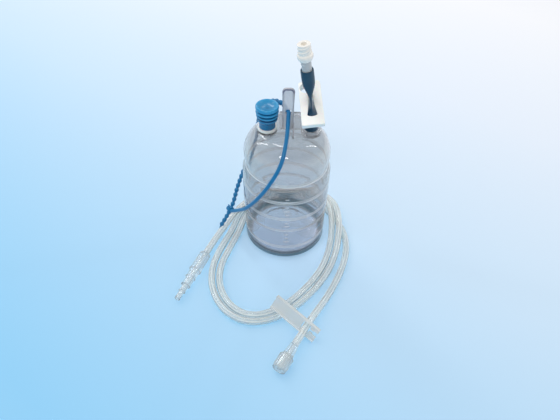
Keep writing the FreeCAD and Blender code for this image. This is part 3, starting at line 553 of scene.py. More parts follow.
@dataclass(frozen=True)
class ClearFinish:
    """Clear or milky moulded plastic: glass that lets lamps through, with a faint uneven surface.

    The stops give heights in millimetres.
    """

    name: str
    tint: Colour
    shade: Colour
    roughness: float = 0.04
    index: float = 1.45
    clearness: float = 1.0
    wave_scale: float = 60.0
    wave_depth: float = 0.0002
    wave_strength: float = 0.15
    tall: float = 0.12
    tint_stops: tuple[tuple[float, Colour], ...] = ()
    clear_stops: tuple[tuple[float, float], ...] = ()
    # Painted highlights: these stops, colour and loss make pale, less clear lines at the bottle's rings; the
    # colour also serves the line's painted stripes
    highlight_stops: tuple[tuple[float, float], ...] = ()
    highlight_colour: Colour = (1.0, 1.0, 1.0)
    middle_tint: Colour = (0.72, 0.72, 0.73)
    middle_reach: tuple[float, float] = (0.0300, 0.0335)
    middle_clearness: float = 0.92
    highlight_loss: float = 0.95
    # Painted highlight stripes, stored on the piece, make the clear wall pale and less clear
    highlight_striped: bool = False
    highlight_stripe_loss: float = 0.85

    def ramp(self, material: bpy.types.Material, height: bpy.types.NodeSocket,
             stops: Sequence[tuple[float, Sequence[float]]]) -> bpy.types.NodeSocket:
        """Add a colour ramp over the height.

        Args:
            material: The material that gets it.
            height: The height as a share of the tallest point.
            stops: Height in millimetres and colour, from the foot upwards.

        Returns:
            The ramp's colour.
        """
        node = material.node_tree.nodes.new("ShaderNodeValToRGB")
        elements = node.color_ramp.elements
        for number, (place, colour) in enumerate(stops):
            share = place * MM / self.tall
            element = elements[number] if number < 2 else elements.new(share)
            element.position = share
            element.color = (*colour, 1.0)
        material.node_tree.links.new(height, node.inputs["Fac"])
        return node.outputs["Color"]

    def vary_by_height(self, material: bpy.types.Material, place: bpy.types.NodeSocket) -> None:
        """Let the tint and clearness follow the height, and paint highlights as pale lines at the rings.

        The tint is t(1 - h) + w h and the clearness c(1 - l h), with h the painted highlight at that height,
        w its colour and l its loss. Near the axis t and c are the middle's own, and past the reach they
        follow the height.

        Args:
            material: The material that gets it.
            place: The object's coordinates.
        """
        nodes = material.node_tree.nodes
        links = material.node_tree.links
        shader = nodes["Principled BSDF"]
        split = nodes.new("ShaderNodeSeparateXYZ")
        links.new(place, split.inputs["Vector"])
        share = nodes.new("ShaderNodeMath")
        share.operation = "DIVIDE"
        share.inputs[1].default_value = self.tall
        links.new(split.outputs["Z"], share.inputs[0])
        tint, clear, highlight = (
            self.ramp(material, share.outputs["Value"], stops)
            for stops in (self.tint_stops, grey_stops(self.clear_stops), grey_stops(self.highlight_stops)))
        flat = nodes.new("ShaderNodeVectorMath")
        flat.operation = "MULTIPLY"
        flat.inputs[1].default_value = (1.0, 1.0, 0.0)
        links.new(place, flat.inputs[0])
        radius = nodes.new("ShaderNodeVectorMath")
        radius.operation = "LENGTH"
        links.new(flat.outputs["Vector"], radius.inputs[0])
        wall = nodes.new("ShaderNodeMapRange")
        wall.inputs["From Min"].default_value = self.middle_reach[0]
        wall.inputs["From Max"].default_value = self.middle_reach[1]
        links.new(radius.outputs["Value"], wall.inputs["Value"])
        base = mixed(material, wall.outputs["Result"], self.middle_tint, tint)
        # Painted highlight: the ring lines take the pale highlight colour
        highlighted = mixed(material, highlight, base, self.highlight_colour)
        links.new(highlighted, shader.inputs["Base Color"])
        seen = nodes.new("ShaderNodeMix")
        seen.data_type = "FLOAT"
        links.new(wall.outputs["Result"], seen.inputs["Factor"])
        seen.inputs["A"].default_value = self.middle_clearness
        links.new(clear, seen.inputs["B"])
        product = nodes.new("ShaderNodeMath")
        product.operation = "MULTIPLY"
        links.new(lessened(material, highlight, 1.0, self.highlight_loss), product.inputs[0])
        links.new(seen.outputs["Result"], product.inputs[1])
        links.new(product.outputs["Value"], shader.inputs["Transmission Weight"])

    def vary_by_highlight_stripe(self, material: bpy.types.Material) -> None:
        """Let the painted highlight stripes that the piece stores turn the clear wall pale and milky.

        The tint is t(1 - s) + w s and the clearness c(1 - l s), with s the share that the piece stores.

        Args:
            material: The material that gets it.
        """
        links = material.node_tree.links
        shader = material.node_tree.nodes["Principled BSDF"]
        highlight_stripe = stored_share(material)
        links.new(mixed(material, highlight_stripe, self.tint, self.highlight_colour), shader.inputs["Base Color"])
        clear = lessened(material, highlight_stripe, self.clearness, self.highlight_stripe_loss * self.clearness)
        links.new(clear, shader.inputs["Transmission Weight"])

    def build(self) -> bpy.types.Material:
        """Make the material.

        Returns:
            A Principled glass, with a Transparent shader in its place for rays that look for a lamp.
        """
        material = bpy.data.materials.new(self.name)
        material.use_nodes = True
        nodes = material.node_tree.nodes
        links = material.node_tree.links
        shader = nodes["Principled BSDF"]
        output = nodes["Material Output"]
        shader.inputs["Base Color"].default_value = (*self.tint, 1.0)
        shader.inputs["Roughness"].default_value = self.roughness
        shader.inputs["IOR"].default_value = self.index
        shader.inputs["Transmission Weight"].default_value = self.clearness
        place = nodes.new("ShaderNodeTexCoord")
        waves = nodes.new("ShaderNodeTexNoise")
        waves.inputs["Scale"].default_value = self.wave_scale
        waves.inputs["Detail"].default_value = 2.0
        links.new(place.outputs["Object"], waves.inputs["Vector"])
        bump = nodes.new("ShaderNodeBump")
        bump.inputs["Strength"].default_value = self.wave_strength
        bump.inputs["Distance"].default_value = self.wave_depth
        links.new(waves.outputs["Fac"], bump.inputs["Height"])
        links.new(bump.outputs["Normal"], shader.inputs["Normal"])
        if self.tint_stops:
            self.vary_by_height(material, place.outputs["Object"])
        if self.highlight_striped:
            self.vary_by_highlight_stripe(material)
        through = nodes.new("ShaderNodeBsdfTransparent")
        through.inputs["Color"].default_value = (*self.shade, 1.0)
        path = nodes.new("ShaderNodeLightPath")
        mix = nodes.new("ShaderNodeMixShader")
        links.new(path.outputs["Is Shadow Ray"], mix.inputs["Fac"])
        links.new(shader.outputs["BSDF"], mix.inputs[1])
        links.new(through.outputs["BSDF"], mix.inputs[2])
        links.new(mix.outputs["Shader"], output.inputs["Surface"])
        return material


@dataclass(frozen=True)
class SolidFinish:
    """Opaque moulded plastic or rubber, with a soft colour change, fine grain, uneven gloss and, where given,
    a painted shade colour.
    """

    name: str
    colour: Colour
    worn: Colour
    roughness: float = 0.35
    roughness_spread: float = 0.08
    coat: float = 0.0
    cloud_scale: float = 90.0
    cloud_span: tuple[float, float] = (0.32, 0.68)
    grain_scale: float = 1800.0
    grain_depth: float = 0.00004
    grain_strength: float = 0.4
    coat_roughness: float = 0.12
    subsurface: float = 0.0
    subsurface_reach: float = 0.002
    # Painted shade: a darker colour that the share stored at a piece's points mixes in
    shade_colour: Colour | None = None

    def build(self) -> bpy.types.Material:
        """Make the material.

        Returns:
            A Principled shader with noise in its colour, roughness and bump.
        """
        material = bpy.data.materials.new(self.name)
        material.use_nodes = True
        nodes = material.node_tree.nodes
        links = material.node_tree.links
        shader = nodes["Principled BSDF"]
        shader.inputs["Coat Weight"].default_value = self.coat
        shader.inputs["Coat Roughness"].default_value = self.coat_roughness
        shader.inputs["Subsurface Weight"].default_value = self.subsurface
        shader.inputs["Subsurface Scale"].default_value = self.subsurface_reach
        place = nodes.new("ShaderNodeTexCoord")
        clouds = nodes.new("ShaderNodeTexNoise")
        clouds.inputs["Scale"].default_value = self.cloud_scale
        clouds.inputs["Detail"].default_value = 3.0
        grain = nodes.new("ShaderNodeTexNoise")
        grain.inputs["Scale"].default_value = self.grain_scale
        grain.inputs["Detail"].default_value = 2.0
        for noise in (clouds, grain):
            links.new(place.outputs["Object"], noise.inputs["Vector"])
        ramp = nodes.new("ShaderNodeValToRGB")
        for element, position, shade in zip(
                ramp.color_ramp.elements, self.cloud_span, (self.worn, self.colour)):
            element.position = position
            element.color = (*shade, 1.0)
        links.new(clouds.outputs["Fac"], ramp.inputs["Fac"])
        colour = ramp.outputs["Color"]
        if self.shade_colour is not None:
            colour = mixed(material, stored_share(material), colour, self.shade_colour)
        links.new(colour, shader.inputs["Base Color"])
        spread = nodes.new("ShaderNodeMapRange")
        spread.inputs["To Min"].default_value = self.roughness - self.roughness_spread
        spread.inputs["To Max"].default_value = self.roughness + self.roughness_spread
        links.new(clouds.outputs["Fac"], spread.inputs["Value"])
        links.new(spread.outputs["Result"], shader.inputs["Roughness"])
        bump = nodes.new("ShaderNodeBump")
        bump.inputs["Strength"].default_value = self.grain_strength
        bump.inputs["Distance"].default_value = self.grain_depth
        links.new(grain.outputs["Fac"], bump.inputs["Height"])
        links.new(bump.outputs["Normal"], shader.inputs["Normal"])
        return material


@dataclass(frozen=True)
class FloorFinish:
    """The pale sky-blue table sheet, lighter towards its far right."""

    name: str = "pale_blue_sheet"
    stops: tuple[tuple[float, Colour], ...] = (
        (0.0, (0.32, 0.655, 0.93)), (0.30, (0.63, 0.80, 0.955)), (0.55, (0.82, 0.885, 0.975)),
        (0.85, (0.97, 0.97, 0.995)))
    heading: float = 52.0
    start: float = -0.25

    def build(self) -> bpy.types.Material:
        """Make the material.

        Returns:
            A matt shader whose colour changes along one direction of the floor.
        """
        material = bpy.data.materials.new(self.name)
        material.use_nodes = True
        nodes = material.node_tree.nodes
        links = material.node_tree.links
        shader = nodes["Principled BSDF"]
        shader.inputs["Roughness"].default_value = 0.9
        shader.inputs["Specular IOR Level"].default_value = 0.0
        place = nodes.new("ShaderNodeTexCoord")
        turn = nodes.new("ShaderNodeMapping")
        turn.inputs["Location"].default_value = (-self.start, 0.0, 0.0)
        turn.inputs["Rotation"].default_value = (0.0, 0.0, math.radians(-self.heading))
        links.new(place.outputs["Object"], turn.inputs["Vector"])
        split = nodes.new("ShaderNodeSeparateXYZ")
        links.new(turn.outputs["Vector"], split.inputs["Vector"])
        ramp = nodes.new("ShaderNodeValToRGB")
        stops = ramp.color_ramp.elements
        for number, (position, colour) in enumerate(self.stops):
            stop = stops[number] if number < 2 else stops.new(position)
            stop.position = position
            stop.color = (*colour, 1.0)
        links.new(split.outputs["X"], ramp.inputs["Fac"])
        links.new(ramp.outputs["Color"], shader.inputs["Base Color"])
        return material


@dataclass
class Finishes:
    """Every finish of the object, made once."""

    # The shell's stops paint shade at the foot: up to 5 mm high the wall is dark teal and nearly opaque,
    # except within the middle reach of the axis; above that the tint is clear and grows lighter towards the
    # top, and the rings carry painted highlights
    shell: ClearFinish = ClearFinish(
        "clear_bottle_plastic", tint=(0.72, 0.72, 0.74), shade=(0.93, 0.95, 0.97), roughness=0.03,
        wave_scale=55.0, wave_depth=0.0006, wave_strength=0.25,
        tint_stops=((0.0, (0.09, 0.17, 0.21)), (5.0, (0.14, 0.23, 0.28)), (7.0, (0.68, 0.65, 0.69)),
                    (45.0, (0.72, 0.70, 0.72)), (80.0, (0.79, 0.78, 0.75)), (110.0, (0.90, 0.87, 0.84))),
        clear_stops=((0.0, 0.15), (5.0, 0.25), (7.0, 0.97), (110.0, 0.97)),
        highlight_stops=ring_highlights(RING_HEIGHTS))
    top: ClearFinish = ClearFinish(
        "clear_neck_plastic", tint=(0.85, 0.85, 0.86), shade=(0.90, 0.92, 0.95), clearness=0.88,
        wave_scale=55.0, wave_depth=0.0004, wave_strength=0.2)
    tab: ClearFinish = ClearFinish(
        "lavender_tab_plastic", tint=(0.83, 0.82, 0.84), shade=(0.86, 0.87, 0.90), roughness=0.12,
        clearness=0.45, wave_scale=120.0, wave_depth=0.0003, wave_strength=0.2)
    rim: ClearFinish = ClearFinish(
        "violet_rim_plastic", tint=(0.33, 0.32, 0.41), shade=(0.78, 0.78, 0.84), roughness=0.10,
        clearness=0.45, wave_scale=120.0, wave_depth=0.0003, wave_strength=0.2)
    # The raised level marks are real; their pale, milky tint is painted highlight standing in for their
    # glints
    mark: ClearFinish = ClearFinish(
        "painted_highlight_mark_plastic", tint=(0.84, 0.88, 0.93), shade=(0.85, 0.87, 0.9), roughness=0.08,
        clearness=0.50, wave_scale=120.0, wave_depth=0.0003, wave_strength=0.2)
    line: ClearFinish = ClearFinish(
        "clear_line_plastic", tint=(0.90, 0.89, 0.86), shade=(0.66, 0.79, 0.84), roughness=0.05, index=1.43,
        clearness=0.80, wave_scale=240.0, wave_depth=0.0001, wave_strength=0.1, highlight_striped=True)
    fitting: ClearFinish = ClearFinish(
        "clear_fitting_plastic", tint=(0.90, 0.91, 0.90), shade=(0.66, 0.75, 0.79), roughness=0.06,
        index=1.48, clearness=0.80, wave_scale=300.0, wave_depth=0.0001)
    plate: ClearFinish = ClearFinish(
        "milky_clamp_plastic", tint=(0.86, 0.875, 0.87), shade=(0.68, 0.76, 0.79), roughness=0.12,
        clearness=0.40, wave_scale=300.0, wave_strength=0.2)
    port_tube: ClearFinish = ClearFinish(
        "grey_port_tube", tint=(0.74, 0.74, 0.74), shade=(0.6, 0.62, 0.64), roughness=0.18, index=1.42,
        clearness=0.35, wave_scale=200.0)
    port: ClearFinish = ClearFinish(
        "milky_port_plastic", tint=(0.99, 0.95, 0.89), shade=(0.90, 0.90, 0.88), roughness=0.20, index=1.42,
        clearness=0.12, wave_scale=300.0)
    white: SolidFinish = SolidFinish(
        "cream_white_moulding", colour=(0.97, 0.965, 0.92), worn=(0.95, 0.94, 0.89), roughness=0.36,
        roughness_spread=0.06, coat=0.05, cloud_scale=60.0, subsurface=0.1)
    bellows: SolidFinish = SolidFinish(
        "glossy_blue_rubber", colour=(0.030, 0.355, 0.66), worn=(0.022, 0.305, 0.59), roughness=0.26,
        roughness_spread=0.05, coat=0.15, cloud_scale=120.0, shade_colour=(0.004, 0.065, 0.18))
    sleeve: SolidFinish = SolidFinish(
        "dark_blue_rubber", colour=(0.006, 0.058, 0.110), worn=(0.004, 0.043, 0.085), roughness=0.40,
        roughness_spread=0.08, coat=0.05, cloud_scale=110.0)
    strap: SolidFinish = SolidFinish(
        "blue_strap_plastic", colour=(0.004, 0.195, 0.43), worn=(0.003, 0.165, 0.38), roughness=0.36,
        roughness_spread=0.06, coat=0.0, cloud_scale=150.0)
    made: dict[str, bpy.types.Material] = field(default_factory=dict)

    def get(self, kind: str) -> bpy.types.Material:
        """Give a finish's material, made at its first use.

        Args:
            kind: The finish's field name.

        Returns:
            The material.
        """
        if kind not in self.made:
            self.made[kind] = getattr(self, kind).build()
        return self.made[kind]


# The stage


@dataclass(frozen=True)
class SoftBox:
    """A soft box: its name, its place and its width and height in metres, and its power in watts."""

    name: str
    place: tuple[float, float, float]
    size: tuple[float, float]
    power: float

    def hang(self, aim: tuple[float, float, float]) -> None:
        """Hang the lamp so that it looks at a point.

        Args:
            aim: The point, in metres.
        """
        data = bpy.data.lights.new(self.name, "AREA")
        data.shape = "RECTANGLE"
        data.size, data.size_y = self.size
        data.energy = self.power
        lamp = bpy.data.objects.new(self.name, data)
        bpy.context.scene.collection.objects.link(lamp)
        away = Vector(self.place) - Vector(aim)
        turn = away.to_track_quat("Z", "Y").to_matrix().to_4x4()
        lamp.matrix_world = Matrix.Translation(self.place) @ turn


@dataclass
class Studio:
    """Floor, lamps, world and the camera at the photograph's angle."""

    camera_place: tuple[float, float, float] = (-0.0048, -0.3396, 0.3692)
    camera_pitch: float = 45.41
    camera_roll: float = 1.2
    focal_pixels: float = 520.0
    frame_pixels: float = 560.0
    sensor: float = 36.0
    nearest: float = 0.01
    floor_reach: float = 3.0
    world_colour: Colour = (0.94, 0.97, 1.0)
    world_strength: float = 0.57
    aim: tuple[float, float, float] = (0.0, -0.03, 0.06)
    boxes: tuple[SoftBox, ...] = (
        SoftBox("key_arc", (-0.55, 0.80, 1.45), (0.28, 1.5), 7.4),
        SoftBox("far_arc", (0.35, 0.95, 1.40), (0.07, 1.4), 3.0),
        SoftBox("left_strip", (-1.1, 0.35, 1.15), (0.08, 0.8), 1.8),
        SoftBox("right_strip", (1.2, 0.25, 1.2), (0.06, 0.9), 2.2),
        SoftBox("front_strip", (-0.25, -1.1, 1.35), (0.6, 0.14), 4.2),
    )

    def add_camera(self) -> None:
        """Set the camera by its place, its angle below the horizon and its roll."""
        data = bpy.data.cameras.new("studio_camera")
        data.lens = self.focal_pixels / self.frame_pixels * self.sensor
        data.sensor_width = self.sensor
        data.clip_start = self.nearest
        camera = bpy.data.objects.new("studio_camera", data)
        bpy.context.scene.collection.objects.link(camera)
        look = Matrix.Rotation(math.radians(90.0 - self.camera_pitch), 4, "X")
        roll = Matrix.Rotation(math.radians(self.camera_roll), 4, "Z")
        camera.matrix_world = Matrix.Translation(self.camera_place) @ look @ roll
        bpy.context.scene.camera = camera

    def add_floor(self) -> None:
        """Lay the floor as one wide flat grid under the bottle."""
        reach = np.linspace(-self.floor_reach, self.floor_reach, 3)
        across, along = np.meshgrid(reach, reach)
        points = np.stack([across, along, np.zeros_like(across)], axis=2)
        faces = Grid(points, wrap_columns=False).faces(0)
        mesh = bpy.data.meshes.new("table_sheet")
        mesh.from_pydata(points.reshape(-1, 3).tolist(), [], faces.tolist())
        mesh.materials.append(FloorFinish().build())
        floor = bpy.data.objects.new("table_sheet", mesh)
        bpy.context.scene.collection.objects.link(floor)

    def light(self) -> None:
        """Set the world and hang the soft boxes."""
        world = bpy.data.worlds.new("soft_daylight")
        world.use_nodes = True
        background = world.node_tree.nodes["Background"]
        background.inputs["Color"].default_value = (*self.world_colour, 1.0)
        background.inputs["Strength"].default_value = self.world_strength
        bpy.context.scene.world = world
        for box in self.boxes:
            box.hang(self.aim)
        bpy.context.scene.view_settings.view_transform = "Standard"


# The connecting line and what is on it


# The coil's middle, clockwise from behind the bottle, and the line's two ends, in millimetres
COIL_ROUTE = np.array([
    (12, 51), (30, 45.5), (43.5, 33), (48.5, 14), (48, -10), (43.5, -34), (35, -55), (22.5, -73.5),
    (8, -89.5), (-8.5, -100.5), (-25, -105), (-41, -100), (-53.5, -86), (-60, -68), (-60, -48),
    (-54, -28), (-46.5, -8), (-42.5, 10), (-35.5, 28), (-23.5, 42), (-7, 50),
], float)
INLET_END = [
    (-71.5, -39.5, 5.6), (-65.8, -24, 5.6), (-59, -8, 5.2), (-50.5, 7.5, 8.6), (-41.5, 21.5, 9.1),
    (-28.5, 36, 9.1), (-11, 44.8, 9.1), (9, 47.8, 8.6),
]
OUTLET_END = [
    (7, 41.8, 3.1), (23, 37.6, 3.1), (36.5, 28.5, 3.1), (46, 16.5, 3.1), (52.8, 3, 3.1), (56.8, -11, 3.1),
    (57.2, -26, 3.1), (54.5, -41, 3.1), (48.5, -58, 3.1), (40, -75.5, 3.1), (31, -92, 5.4),
    (21.8, -107.5, 8.9), (14.3, -120.6, 7.6), (8.7, -130.1, 7.35),
]


@dataclass
class ConnectingLine:
    """The clear line: two coiled turns between its inlet end and its outlet end."""

    diameter: float = 6.2
    bore: float = 3.9
    segments: int = 32
    steps_a_point: int = 10
    # Painted highlights: pale lengthwise stripes at these angles round the line, with their strengths
    highlight_stripes: tuple[tuple[float, float], ...] = ((42.0, 0.7), (86.0, 0.5), (132.0, 0.8))
    highlight_stripe_width: float = 9.0
    points_at_a_time: int = 2000
    outer_shift: tuple[float, ...] = (
        3.3, 3.3, 3.2, 3.3, 3.3, 3.2, 3.2, 3.2, 3.2, 3.2, 3.3, 3.4, 3.5, 3.6, 3.8, 3.4, 3.5, 2.2, -0.5, -2.9)
    inner_shift: tuple[float, ...] = (
        -3.2, -3.4, -3.3, -3.2, -3.3, -3.4, -3.2, -3.2, -3.2, -3.2, -3.2, -3.2, -3.2, -3.3, -3.6, -3.8,
        -3.3, -2.9, -4.1, -7.0, -9.3)
    outer_climb: tuple[float, ...] = (4.5, 6.2, 9.9, 9.9, 3.4)
    inner_climb: tuple[float, ...] = (3.1, 5.5, 9.9, 9.9, 4.0)

    def turn_points(self, first: int, shifts: Sequence[float], heights: Array) -> Array:
        """Give one coiled turn: the ring's points moved outwards along the ring's own normal.

        The normal is the line between the two neighbours, turned by a quarter.

        Args:
            first: The ring's point that the turn starts from.
            shifts: How far out each point lies.
            heights: How high the line's middle is at each point.

        Returns:
            The turn's points.
        """
        way = np.roll(COIL_ROUTE, -1, axis=0) - np.roll(COIL_ROUTE, 1, axis=0)
        way /= np.linalg.norm(way, axis=1)[:, None]
        normal = np.stack([-way[:, 1], way[:, 0]], axis=1)
        ring = COIL_ROUTE[first:] + normal[first:] * np.asarray(shifts)[:, None]
        return np.column_stack([ring, heights])

    def route(self) -> Array:
        """Give the whole line's points, from the stepped connector to the lock connector.

        Each turn lies on the table, save where it climbs over the turn under it at its start.

        Returns:
            One row of x, y and z a point, in metres.
        """
        turns = []
        for first, shifts, climb in (
                (1, self.outer_shift, self.outer_climb), (0, self.inner_shift, self.inner_climb)):
            heights = np.full(len(shifts), self.diameter / 2)
            heights[:len(climb)] = climb
            turns.append(self.turn_points(first, shifts, heights))
        return np.vstack([INLET_END, *turns, OUTLET_END]) * MM

    def centre_line(self) -> Array:
        """Draw the route as one NURBS spline and read its smooth line.

        Returns:
            One row of x, y and z a point, in millimetres.
        """
        points = self.route()
        curve = bpy.data.curves.new("line_route", "CURVE")
        curve.dimensions = "3D"
        curve.resolution_u = self.steps_a_point
        spline = curve.splines.new("NURBS")
        spline.points.add(len(points) - 1)
        spline.points.foreach_set("co", np.column_stack([points, np.ones(len(points))]).ravel())
        spline.order_u = 3
        spline.use_endpoint_u = True
        holder = bpy.data.objects.new("line_route", curve)
        bpy.context.scene.collection.objects.link(holder)
        bpy.context.view_layer.update()
        sampled = bpy.data.meshes.new_from_object(holder)
        line = np.empty(len(sampled.vertices) * 3)
        sampled.vertices.foreach_get("co", line)
        bpy.data.objects.remove(holder)
        bpy.data.meshes.remove(sampled)
        bpy.data.curves.remove(curve)
        return line.reshape(-1, 3) / MM

    def paint_highlight_stripes(self, piece: bpy.types.Object, path: Array) -> None:
        """Store painted highlights: pale lengthwise stripes round the line's outside.

        Round the outside, at the angle a from the line's right, a stripe at angle c and of width w is worth
        s exp(-((a - c) / w)^2).

        Args:
            piece: The line.
            path: Its middle line's points.
        """
        points = points_of(piece)
        nearest = np.concatenate([
            np.argmin(((block[:, None] - path[None]) ** 2).sum(axis=2), axis=1)
            for block in np.array_split(points, max(1, len(points) // self.points_at_a_time))])
        across, over = frames_along(path, (0.0, 0.0, 1.0))
        away = points - path[nearest]
        right, up = ((away * way[nearest]).sum(axis=1) for way in (across, over))
        angle = np.degrees(np.arctan2(up, right))
        outer = np.linalg.norm(away, axis=1) > (self.diameter + self.bore) / 4
        highlight_stripes = sum(
            share * np.exp(-((angle - centre) / self.highlight_stripe_width) ** 2) for centre, share in self.highlight_stripes)
        note_shares(piece, highlight_stripes * outer)

    def build(self, finishes: Finishes, on_line: Sequence[bpy.types.Object]) -> bpy.types.Object:
        """Make the line as one closed wall: its outside, its end rims and its bore.

        Args:
            finishes: The object's finishes.
            on_line: The pieces that are on the line. Not used.

        Returns:
            The line.
        """
        path = self.centre_line()
        outside = tube_along(path, self.diameter / 2, self.segments)
        bore = tube_along(path, self.bore / 2, self.segments)
        wall = Grid(np.vstack([outside.points, bore.points[::-1]]), wrap_rows=True)
        piece = make_piece("connecting_line", [wall], finishes.get("line"), Body.ROOT,
                           ("tube_coil", "tail_inlet", "tail_outlet"), sharp=60.0)
        self.paint_highlight_stripes(piece, path)
        return piece


@dataclass
class SteppedConnector:
    """The inlet end's hard connector: a ribbed barrel and four falling steps."""

    base: tuple[float, float, float] = INLET_END[0]
    before: tuple[float, float, float] = INLET_END[1]
    barrel: float = 5.15
    barrel_end: float = 5.5
    barrel_length: float = 20.0
    steps: tuple[tuple[float, float], ...] = ((4.35, 8.0), (3.85, 8.0), (2.8, 6.0), (2.3, 8.0))
    barrel_rim: float = 2.0
    step_rim: float = 0.6
    flare: float = 0.35
    bore: float = 1.5
    ribs: int = 18
    rib_depth: float = 0.3
    ribs_from: float = 1.2
    ribs_short: float = 2.4
    segments: int = 144

    def profile(self) -> Array:
        """Give the outline with its corners rounded: the barrel, its rim, and each step with its own rim.

        Returns:
            Radius and height pairs.
        """
        rim_start = self.barrel_length - self.barrel_rim
        rows = [(self.bore, 0.0), (self.barrel, 0.0), (self.barrel, rim_start), (self.barrel_end, rim_start),
                (self.barrel_end, self.barrel_length)]
        height = self.barrel_length
        for number, (radius, length) in enumerate(self.steps):
            rows += [(radius, height), (radius + self.flare * 0.2, height + length)]
            height += length
            if number < len(self.steps) - 1:
                rows += [(radius + self.flare, height), (radius + self.flare, height + self.step_rim)]
                height += self.step_rim
        rows.append((self.bore, height))
        return soften(rows, 0.28, steps=4)

    def build(self, finishes: Finishes) -> bpy.types.Object:
        """Turn the outline, its barrel furrowed between n ribs by a depth of d (1 - |cos(n a / 2)|)^1.5.

        Args:
            finishes: The object's finishes.

        Returns:
            The connector.
        """
        dense = denser(self.profile(), 3)
        radius, height = dense.T
        outer = radius > self.barrel - 0.1
        on_barrel = outer & (height > self.ribs_from) & (height < self.barrel_length - self.ribs_short)
        furrow = (1 - np.abs(np.cos(self.ribs * round_turn(self.segments) / 2))) ** 1.5
        relief = on_barrel[:, None] * -self.rib_depth * furrow
        axis = np.subtract(self.base, self.before)
        grid = turned_to(revolve(dense, self.segments, relief), along_axis(self.base, axis))
        return make_piece("stepped_connector", [grid], finishes.get("fitting"), Body.ROOT,
                          ("step_connector",), sharp=50.0)


@dataclass
class LockConnector:
    """The outlet end's lock connector: a ribbed socket with a nose, and the ridged nut that turns on it."""

    base: tuple[float, float, float] = OUTLET_END[-1]
    before: tuple[float, float, float] = OUTLET_END[-2]
    socket_start: float = 3.5
    socket_end: float = 4.5
    socket_length: float = 10.0
    rib_height: float = 0.9
    body_segments: int = 160
    nut_radius: float = 5.8
    nut_mouth: float = 5.6
    nut_bore: float = 4.0
    nut_gap: float = 0.3
    nut_length: float = 13.6
    nut_ridges: int = 12
    ridge_height: float = 0.42
    nut_segments: int = 192

    def place(self) -> Matrix:
        """Give the matrix that stands Z along the line's last run."""
        return along_axis(self.base, np.subtract(self.base, self.before))

    def build_body(self, finishes: Finishes) -> bpy.types.Object:
        """Turn the socket and nose; four ribs stand out by h(z) times a narrow bump round the turn.

        Args:
            finishes: The object's finishes.

        Returns:
            The body, which keeps to the line.
        """
        rows = soften([
            (1.2, 0.0), (self.socket_start, 0.0), (self.socket_end, self.socket_length),
            (3.0, self.socket_length), (3.0, 12.2), (3.5, 12.2), (3.5, 13.2), (2.25, 13.2), (1.95, 23.2),
            (1.2, 23.2)], 0.3, steps=4)
        dense = denser(rows, 4)
        side = (dense[:, 0] > self.socket_start - 0.2) & (dense[:, 1] < self.socket_length - 0.05)
        share = np.clip(dense[:, 1] / self.socket_length, 0.0, 1.0)
        height = side * self.rib_height * (0.4 + 0.6 * np.minimum(share * 1.2, 1.0))
        bump = np.clip(np.abs(np.cos(2 * round_turn(self.body_segments))) * 6.0 - 5.0, 0.0, 1.0)
        grid = turned_to(revolve(dense, self.body_segments, height[:, None] * bump), self.place())
        return make_piece("lock_connector_body", [grid], finishes.get("fitting"), Body.ROOT,
                          ("luer_body",), sharp=50.0)

    def build_nut(self, finishes: Finishes) -> bpy.types.Object:
        """Turn the bell; its n ridges stand out by h |cos(n a / 2)|^6, fading at both of its ends.

        Args:
            finishes: The object's finishes.

        Returns:
            The nut.
        """
        back = self.socket_length + self.nut_gap
        wall = back + 1.6
        end = back + self.nut_length
        rows = soften([
            (3.1, back), (self.nut_radius - 1, back), (self.nut_radius, wall), (self.nut_mouth, end),
            (self.nut_bore, end), (self.nut_bore, wall), (3.1, wall)], 0.5, steps=5)
        dense = denser(rows, 4)
        side = dense[:, 0] > 5.2
        fade_back = np.clip((dense[:, 1] - wall + 0.4) / 1.2, 0.0, 1.0)
        fade_end = np.clip((end - 0.8 - dense[:, 1]) / 0.8, 0.0, 1.0)
        ridge = np.abs(np.cos(self.nut_ridges * round_turn(self.nut_segments) / 2)) ** 6
        relief = (side * (fade_back * fade_end) * self.ridge_height)[:, None] * ridge
        grid = turned_to(revolve(dense, self.nut_segments, relief), self.place())
        return make_piece("lock_connector_nut", [grid], finishes.get("fitting"), Body.NUT,
                          ("luer_nut",), sharp=50.0)


@dataclass
class LineClamp:
    """The rimmed slide clamp on the line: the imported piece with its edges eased."""

    edge: float = 0.25
    join_reach: float = 1e-5
    sharp: float = 40.0

    def dress(self, finishes: Finishes) -> bpy.types.Object:
        """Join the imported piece's triangles, ease its edges and give it its finish.

        Args:
            finishes: The object's finishes.

        Returns:
            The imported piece.
        """
        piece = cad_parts["line_clamp"]
        weld = piece.modifiers.new("join_faces", "WELD")
        weld.merge_threshold = self.join_reach
        ease = piece.modifiers.new("ease_edges", "BEVEL")
        ease.width = self.edge * MM
        ease.segments = 2
        ease.limit_method = "ANGLE"
        ease.angle_limit = math.radians(self.sharp)
        piece.data.materials.clear()
        piece.data.materials.append(finishes.get("plate"))
        return piece


# The bottle


